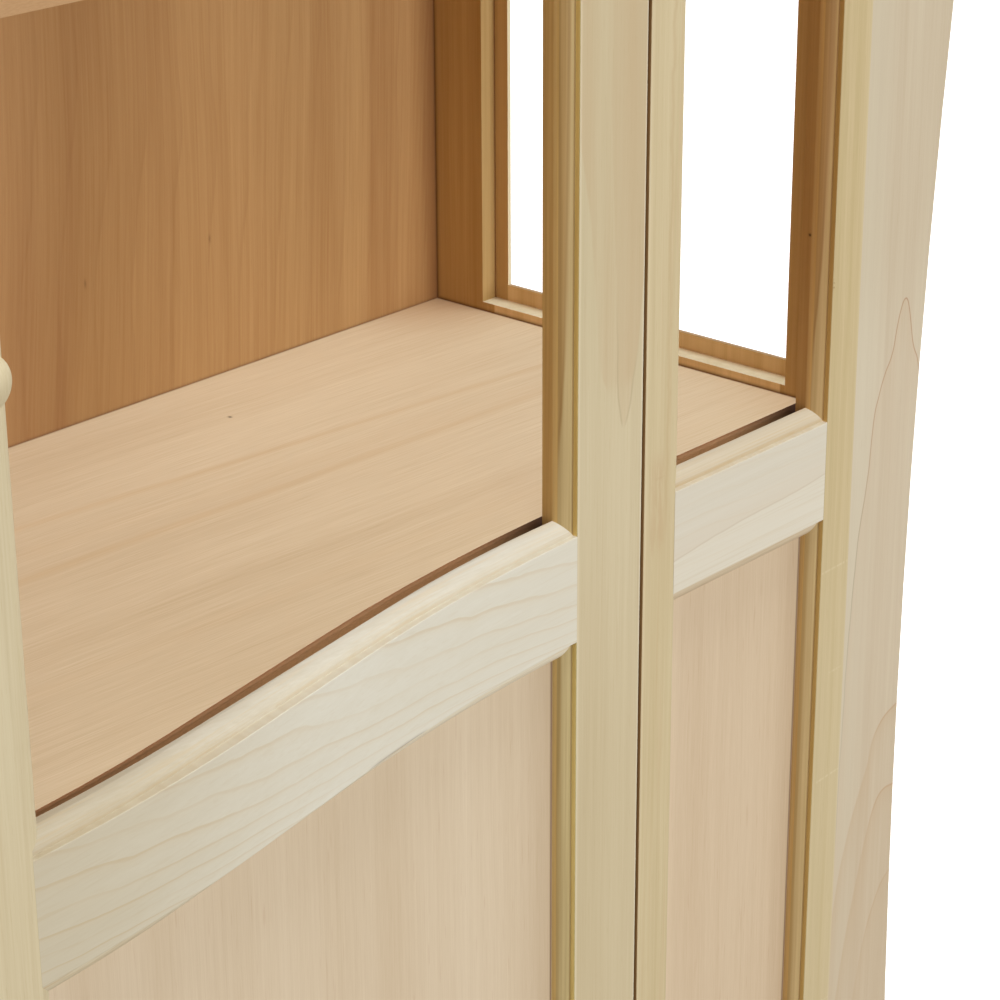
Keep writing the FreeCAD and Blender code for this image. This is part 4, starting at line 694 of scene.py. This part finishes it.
def side_frame():
    """Browner poplar inside, partly the wood's colour and partly painted shade on faces that look towards the
    cabinet's middle; paler outside.
    """
    n = Net("brown_poplar")
    x, y, z = n.pos()
    ax = n.absolute(x)
    nx, ny, nz = n.nrm()
    out, f = wood(n, "Z", lin(208, 192, 158), lin(190, 170, 130), 6.0, 0.8, 1.0, 1.0)
    p = n.pores("Z", 26.0)
    out = n.mix(n.mul(p, 0.2), out, (0.78, 0.68, 0.52, 1), "MULTIPLY")
    b = n.streak("Z", 0.05, 0.002, 71.0, 2.0)
    m = n.streak("Z", 0.22, 0.004, 72.0, 2.0)
    t = n.tone(0.5, (b, 1.8), (m, 1.0), (f, 0.5))
    shade = n.step(t, 0.1, 0.9, 0.0, 1.0, False)
    ins = n.mix(shade, lin(175, 133, 75), lin(197, 157, 99))
    inside = inward_shade(n, 0.3, 0.8)
    # the rabbet's wall is a little lighter, and its floor, which gets light from the open top, is cream
    wall = n.mix(shade, lin(186, 142, 86), lin(203, 163, 107))
    ins = n.mix(n.step(ax, 812.0, 817.0), ins, wall)
    sill = n.mul(n.step(z, 870.0, 868.0), n.mul(n.step(y, 165.6, 164.8), n.step(y, -102.0, -100.0)))
    ins = n.mix(sill, ins, n.mix(shade, lin(217, 179, 124), lin(233, 198, 146)))
    col = n.mix(inside, out, ins)
    up = n.step(nz, 0.5, 0.9)
    floor = n.mix(shade, lin(207, 191, 153), lin(220, 207, 174))
    # painted shade along the floor's foot by the lip
    floor = n.mix(n.mul(n.step(ax, 811.0, 819.2), 0.8), floor, lin(160, 122, 76))
    col = n.mix(up, col, floor)
    # the steps of the rabbet that face front are yellower
    step_face = n.step(ny, -0.5, -0.9)
    st = n.mix(shade, lin(172, 136, 80), lin(192, 160, 104))
    st = n.mix(n.step(ax, 818.6, 819.6), st, lin(232, 216, 176))
    st = n.mix(n.mul(n.line(n.sub(ax, 819.2), 1.6), n.step(y, 170.0, 175.0)), st, lin(122, 80, 36))
    col = n.mix(step_face, col, st)
    # dark lines where the frame meets the deck and the back
    j = n.mx(n.mul(n.line(n.sub(z, 850.0), 1.6), inside), n.mul(n.line(n.sub(y, 224.0), 1.8), inside))
    col = n.mix(n.mul(j, 0.75), col, lin(92, 56, 26))
    return close(n, col, f, 0.62)


# ---------------------------------------------------------------- hardware

def brass():
    n = Net("brass")
    x, y, z = n.pos()
    brush = n.noise(n.vec(n.mul(x, 3.0), n.mul(y, 3.0), n.mul(z, 0.12)), 1.0, 3.0, 0.6)
    spot = n.noise(n.vec(n.mul(x, 0.18), n.mul(y, 0.18), n.mul(z, 0.18)), 1.0, 3.0, 0.6)
    col = n.mix(n.step(spot, 0.42, 0.68), (0.64, 0.46, 0.20, 1), (0.40, 0.26, 0.10, 1))
    col = n.mix(n.step(brush, 0.35, 0.65, 0.0, 0.35), col, (0.78, 0.60, 0.30, 1))
    n.bump(brush, 0.00003, 0.5)
    return n.finish(col, n.tone(0.36, (brush, 0.25), (spot, 0.35)), 0.5, 1.0)


def steel():
    n = Net("steel")
    x, y, z = n.pos()
    brush = n.noise(n.vec(n.mul(x, 2.5), n.mul(y, 0.15), n.mul(z, 2.5)), 1.0, 3.0, 0.6)
    spangle = n.noise(n.vec(n.mul(x, 0.35), n.mul(y, 0.35), n.mul(z, 0.35)), 1.0, 1.0)
    col = n.mix(n.step(spangle, 0.4, 0.6), (0.56, 0.56, 0.57, 1), (0.46, 0.46, 0.48, 1))
    n.bump(brush, 0.00002, 0.5)
    return n.finish(col, n.tone(0.38, (brush, 0.25), (spangle, 0.2)), 0.5, 1.0)


def plastic():
    n = Net("catch_plastic")
    x, y, z = n.pos()
    grit = n.noise(n.vec(n.mul(x, 2.2), n.mul(y, 2.2), n.mul(z, 2.2)), 1.0, 3.0, 0.6)
    age = n.noise(n.vec(n.mul(x, 0.1), n.mul(y, 0.1), n.mul(z, 0.1)), 1.0, 2.0)
    col = n.mix(n.step(age, 0.35, 0.65), (0.80, 0.78, 0.72, 1), (0.72, 0.69, 0.61, 1))
    n.bump(grit, 0.00004, 0.6)
    return n.finish(col, n.tone(0.42, (grit, 0.2)), 0.45)


BY_SLOT = {
    "pale_poplar": post(),
    "yellow_poplar": yellow(),
    "poplar": plain("poplar", "Z", lin(209, 195, 160), lin(194, 176, 138), 7.0),
    "brown_poplar": side_frame(),
    "carcass_poplar": plain("carcass_poplar", "X", lin(212, 198, 166), lin(196, 178, 142), 8.0, None),
    "panel_veneer": panel("panel_veneer", 9.0),
    "brass": brass(),
    "steel": steel(),
    "catch_plastic": plastic(),
}
BY_NODE = {}
top_rails = other_rail("cream_poplar_top", 1693.8, 13.0)
foot_rails = other_rail("cream_poplar_foot", 96.0, 17.0)
door_waist = waist_rail("cream_poplar_door", True, 3.0, 0.0)
bay_waist = waist_rail("cream_poplar_bay", False, 27.0, 0.9)
wide_stile = hinge_stile()
narrow_stile = inner_stile()
deck_mat = deck("deck_veneer", 2.0, 850.0, True)
shelf_mat = deck("shelf_veneer", 14.0, 1250.0, False)
back_upper = veneer("back_veneer", lin(186, 142, 92), lin(156, 108, 62), lin(140, 90, 48), 5.0, True)
back_lower = veneer("back_veneer_low", lin(186, 142, 92), lin(156, 108, 62), lin(140, 90, 48), 11.0, False)
for side in ("left", "right"):
    BY_NODE["door_waist_rail_" + side] = door_waist
    BY_NODE["bay_waist_rail_" + side] = bay_waist
    BY_NODE["door_top_rail_" + side] = top_rails
    BY_NODE["bay_top_rail_" + side] = top_rails
    BY_NODE["door_bottom_rail_" + side] = foot_rails
    BY_NODE["bay_bottom_rail_" + side] = foot_rails
    BY_NODE["door_hinge_stile_" + side] = wide_stile
    BY_NODE["bay_inner_stile_" + side] = narrow_stile
BY_NODE["deck"] = deck_mat
BY_NODE["shelf_upper"] = shelf_mat
BY_NODE["shelf_lower"] = shelf_mat
BY_NODE["back_panel_upper"] = back_upper
BY_NODE["back_panel_lower"] = back_lower

slots = {s["node"]: s["material_slot"] for s in frame["record"]["subparts"]}
for name, o in nodes.items():
    m = BY_NODE[name] if name in BY_NODE else BY_SLOT[slots[name]]
    if not o.material_slots:
        o.data.materials.append(m)
    for s in o.material_slots:
        s.material = m

# ---------------------------------------------------------------- camera

yaw, pitch, roll = math.radians(48.30), math.radians(22.29), math.radians(0.273)
fwd = Vector((math.sin(yaw) * math.cos(pitch), math.cos(yaw) * math.cos(pitch), -math.sin(pitch)))
right = Vector((math.cos(yaw), -math.sin(yaw), 0.0))
down = fwd.cross(right)
c, s = math.cos(roll), math.sin(roll)
right, down = c * right + s * down, -s * right + c * down
cam = bpy.data.cameras.new("camera")
cam.sensor_fit = "HORIZONTAL"
cam.sensor_width = 36.0
cam.lens = 2867.0 * 36.0 / 1000.0
cam.clip_start = 0.05
cam.clip_end = 100.0
camera = bpy.data.objects.new("camera", cam)
scene.collection.objects.link(camera)
up = -down
back = -fwd
camera.matrix_world = Matrix((
    (right.x, up.x, back.x, -0.72722),
    (right.y, up.y, back.y, -1.20367),
    (right.z, up.z, back.z, 1.54000),
    (0, 0, 0, 1)))
scene.camera = camera

# ---------------------------------------------------------------- stage and light

floor_mesh = bpy.data.meshes.new("floor")
floor_mesh.from_pydata([(-30, -30, -0.0002), (30, -30, -0.0002), (30, 30, -0.0002), (-30, 30, -0.0002)], [], [(0, 1, 2, 3)])
floor = bpy.data.objects.new("floor", floor_mesh)
scene.collection.objects.link(floor)
fm = bpy.data.materials.new("floor")
fm.use_nodes = True
fb = fm.node_tree.nodes["Principled BSDF"]
fb.inputs["Base Color"].default_value = (0.85, 0.85, 0.85, 1)
fb.inputs["Roughness"].default_value = 0.9
fb.inputs["Specular IOR Level"].default_value = 0.1
fb.inputs["Emission Color"].default_value = (1, 1, 1, 1)
fb.inputs["Emission Strength"].default_value = 0.55
floor_mesh.materials.append(fm)
floor.visible_diffuse = False
floor.visible_glossy = False
floor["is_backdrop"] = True

# A plain pale round wall far behind the floor. It neither lights the cabinet nor keeps light off it.
ring = [(28.0 * math.cos(math.tau * i / 96), 28.0 * math.sin(math.tau * i / 96)) for i in range(96)]
wall_points = [(px, py, z) for z in (-0.1, 26.0) for px, py in ring]
wall_faces = [(i, (i + 1) % 96, 96 + (i + 1) % 96, 96 + i) for i in range(96)]
wall_mesh = bpy.data.meshes.new("wall")
wall_mesh.from_pydata(wall_points, [], wall_faces)
wall = bpy.data.objects.new("wall", wall_mesh)
scene.collection.objects.link(wall)
wm = bpy.data.materials.new("wall")
wm.use_nodes = True
wb = wm.node_tree.nodes["Principled BSDF"]
wb.inputs["Base Color"].default_value = (0.02, 0.02, 0.02, 1)
wb.inputs["Roughness"].default_value = 1.0
wb.inputs["Specular IOR Level"].default_value = 0.0
wb.inputs["Emission Color"].default_value = (1, 1, 1, 1)
wb.inputs["Emission Strength"].default_value = 0.97
wall_mesh.materials.append(wm)
wall.visible_diffuse = False
wall.visible_glossy = False
wall.visible_shadow = False
wall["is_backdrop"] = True

# Soft surroundings: neutral from the right and above, dimmer and warmer from the left and below.
world = bpy.data.worlds.new("world")
scene.world = world
world.use_nodes = True
wt = world.node_tree
wt.nodes.clear()
w_out = wt.nodes.new("ShaderNodeOutputWorld")
w_bg = wt.nodes.new("ShaderNodeBackground")
w_tc = wt.nodes.new("ShaderNodeTexCoord")
w_sep = wt.nodes.new("ShaderNodeSeparateXYZ")
w_mx = wt.nodes.new("ShaderNodeMapRange")
w_mz = wt.nodes.new("ShaderNodeMapRange")
w_side = wt.nodes.new("ShaderNodeMix")
w_all = wt.nodes.new("ShaderNodeMix")
for m, lo, hi in ((w_mx, -0.5, 0.6), (w_mz, -0.35, 0.15)):
    m.interpolation_type = "SMOOTHSTEP"
    m.inputs["From Min"].default_value = lo
    m.inputs["From Max"].default_value = hi
for m in (w_side, w_all):
    m.data_type = "RGBA"
wt.links.new(w_tc.outputs["Generated"], w_sep.inputs[0])
wt.links.new(w_sep.outputs[0], w_mx.inputs["Value"])
wt.links.new(w_sep.outputs[2], w_mz.inputs["Value"])
wt.links.new(w_mx.outputs["Result"], w_side.inputs[0])
w_side.inputs[6].default_value = (0.44, 0.35, 0.25, 1)
w_side.inputs[7].default_value = (0.34, 0.33, 0.32, 1)
wt.links.new(w_mz.outputs["Result"], w_all.inputs[0])
w_all.inputs[6].default_value = (0.34, 0.28, 0.21, 1)
wt.links.new(w_side.outputs[2], w_all.inputs[7])
wt.links.new(w_all.outputs[2], w_bg.inputs["Color"])
w_bg.inputs["Strength"].default_value = 1.0
wt.links.new(w_bg.outputs[0], w_out.inputs["Surface"])


def area(name, loc, target, size, power, colour=(1, 1, 1)):
    l = bpy.data.lights.new(name, "AREA")
    l.shape = "RECTANGLE"
    l.size, l.size_y = size
    l.energy = power
    l.color = colour
    o = bpy.data.objects.new(name, l)
    scene.collection.objects.link(o)
    o.location = loc
    d = Vector(target) - Vector(loc)
    o.rotation_euler = d.to_track_quat("-Z", "Y").to_euler()
    return o


def linked(name, members, state):
    """A collection for light linking: only its members, or everything but them."""
    group = bpy.data.collections.new(name)
    for member in members:
        group.objects.link(nodes[member])
    for member in group.collection_objects:
        member.light_linking.link_state = state
    return group


# The key light is two lights in one place. The one for the compartment's inside isn't blocked by the stiles.
INSIDE = ["deck", "back_panel_upper"]
STILES = []
for side in ("left", "right"):
    INSIDE += [p + side for p in ("side_rear_stile_", "side_front_stile_", "side_sill_rail_", "side_top_rail_")]
    STILES += [p + side for p in ("door_hinge_stile_", "bay_inner_stile_", "bay_outer_stile_", "end_post_")]
KEY = ((1.3, -5.0, 1.7), (0.5, 0, 0.9), (4.2, 1.8), 188.0, (0.93, 1.0, 1.11))
key = area("key", *KEY)
key.light_linking.receiver_collection = linked("not_inside", INSIDE, "EXCLUDE")
key_inside = area("key_inside", *KEY)
key_inside.light_linking.receiver_collection = linked("inside", INSIDE, "INCLUDE")
key_inside.light_linking.blocker_collection = linked("not_stiles", STILES, "EXCLUDE")
area("back_fill", (-3.4, 3.2, 3.0), (0, 0, 0.9), (2.4, 2.4), 90.0, (1.0, 0.95, 0.88))

# Light from straight above, which the top board and the upper shelf let through, as if they were off.
sun = bpy.data.lights.new("overhead", "SUN")
sun.energy = 2.3
sun.color = (0.93, 1.0, 1.08)
sun.angle = math.radians(20.0)
sun_object = bpy.data.objects.new("overhead", sun)
scene.collection.objects.link(sun_object)
sun_object.rotation_euler = (math.radians(6.0), 0.0, 0.0)
OPEN = ["top_board", "shelf_upper", "shelf_pins"]
for side in ("left", "right"):
    OPEN += [p + side for p in ("door_top_rail_", "bay_top_rail_", "side_top_rail_", "door_hinge_stile_", "bay_inner_stile_",
                                "door_meeting_stile_", "bay_outer_stile_", "end_post_", "side_front_stile_")]
sun_object.light_linking.blocker_collection = linked("open_top", OPEN, "EXCLUDE")

scene.view_settings.view_transform = "Standard"
scene.view_settings.look = "None"
scene.view_settings.exposure = 0.0
scene.view_settings.gamma = 1.0

lo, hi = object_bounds()
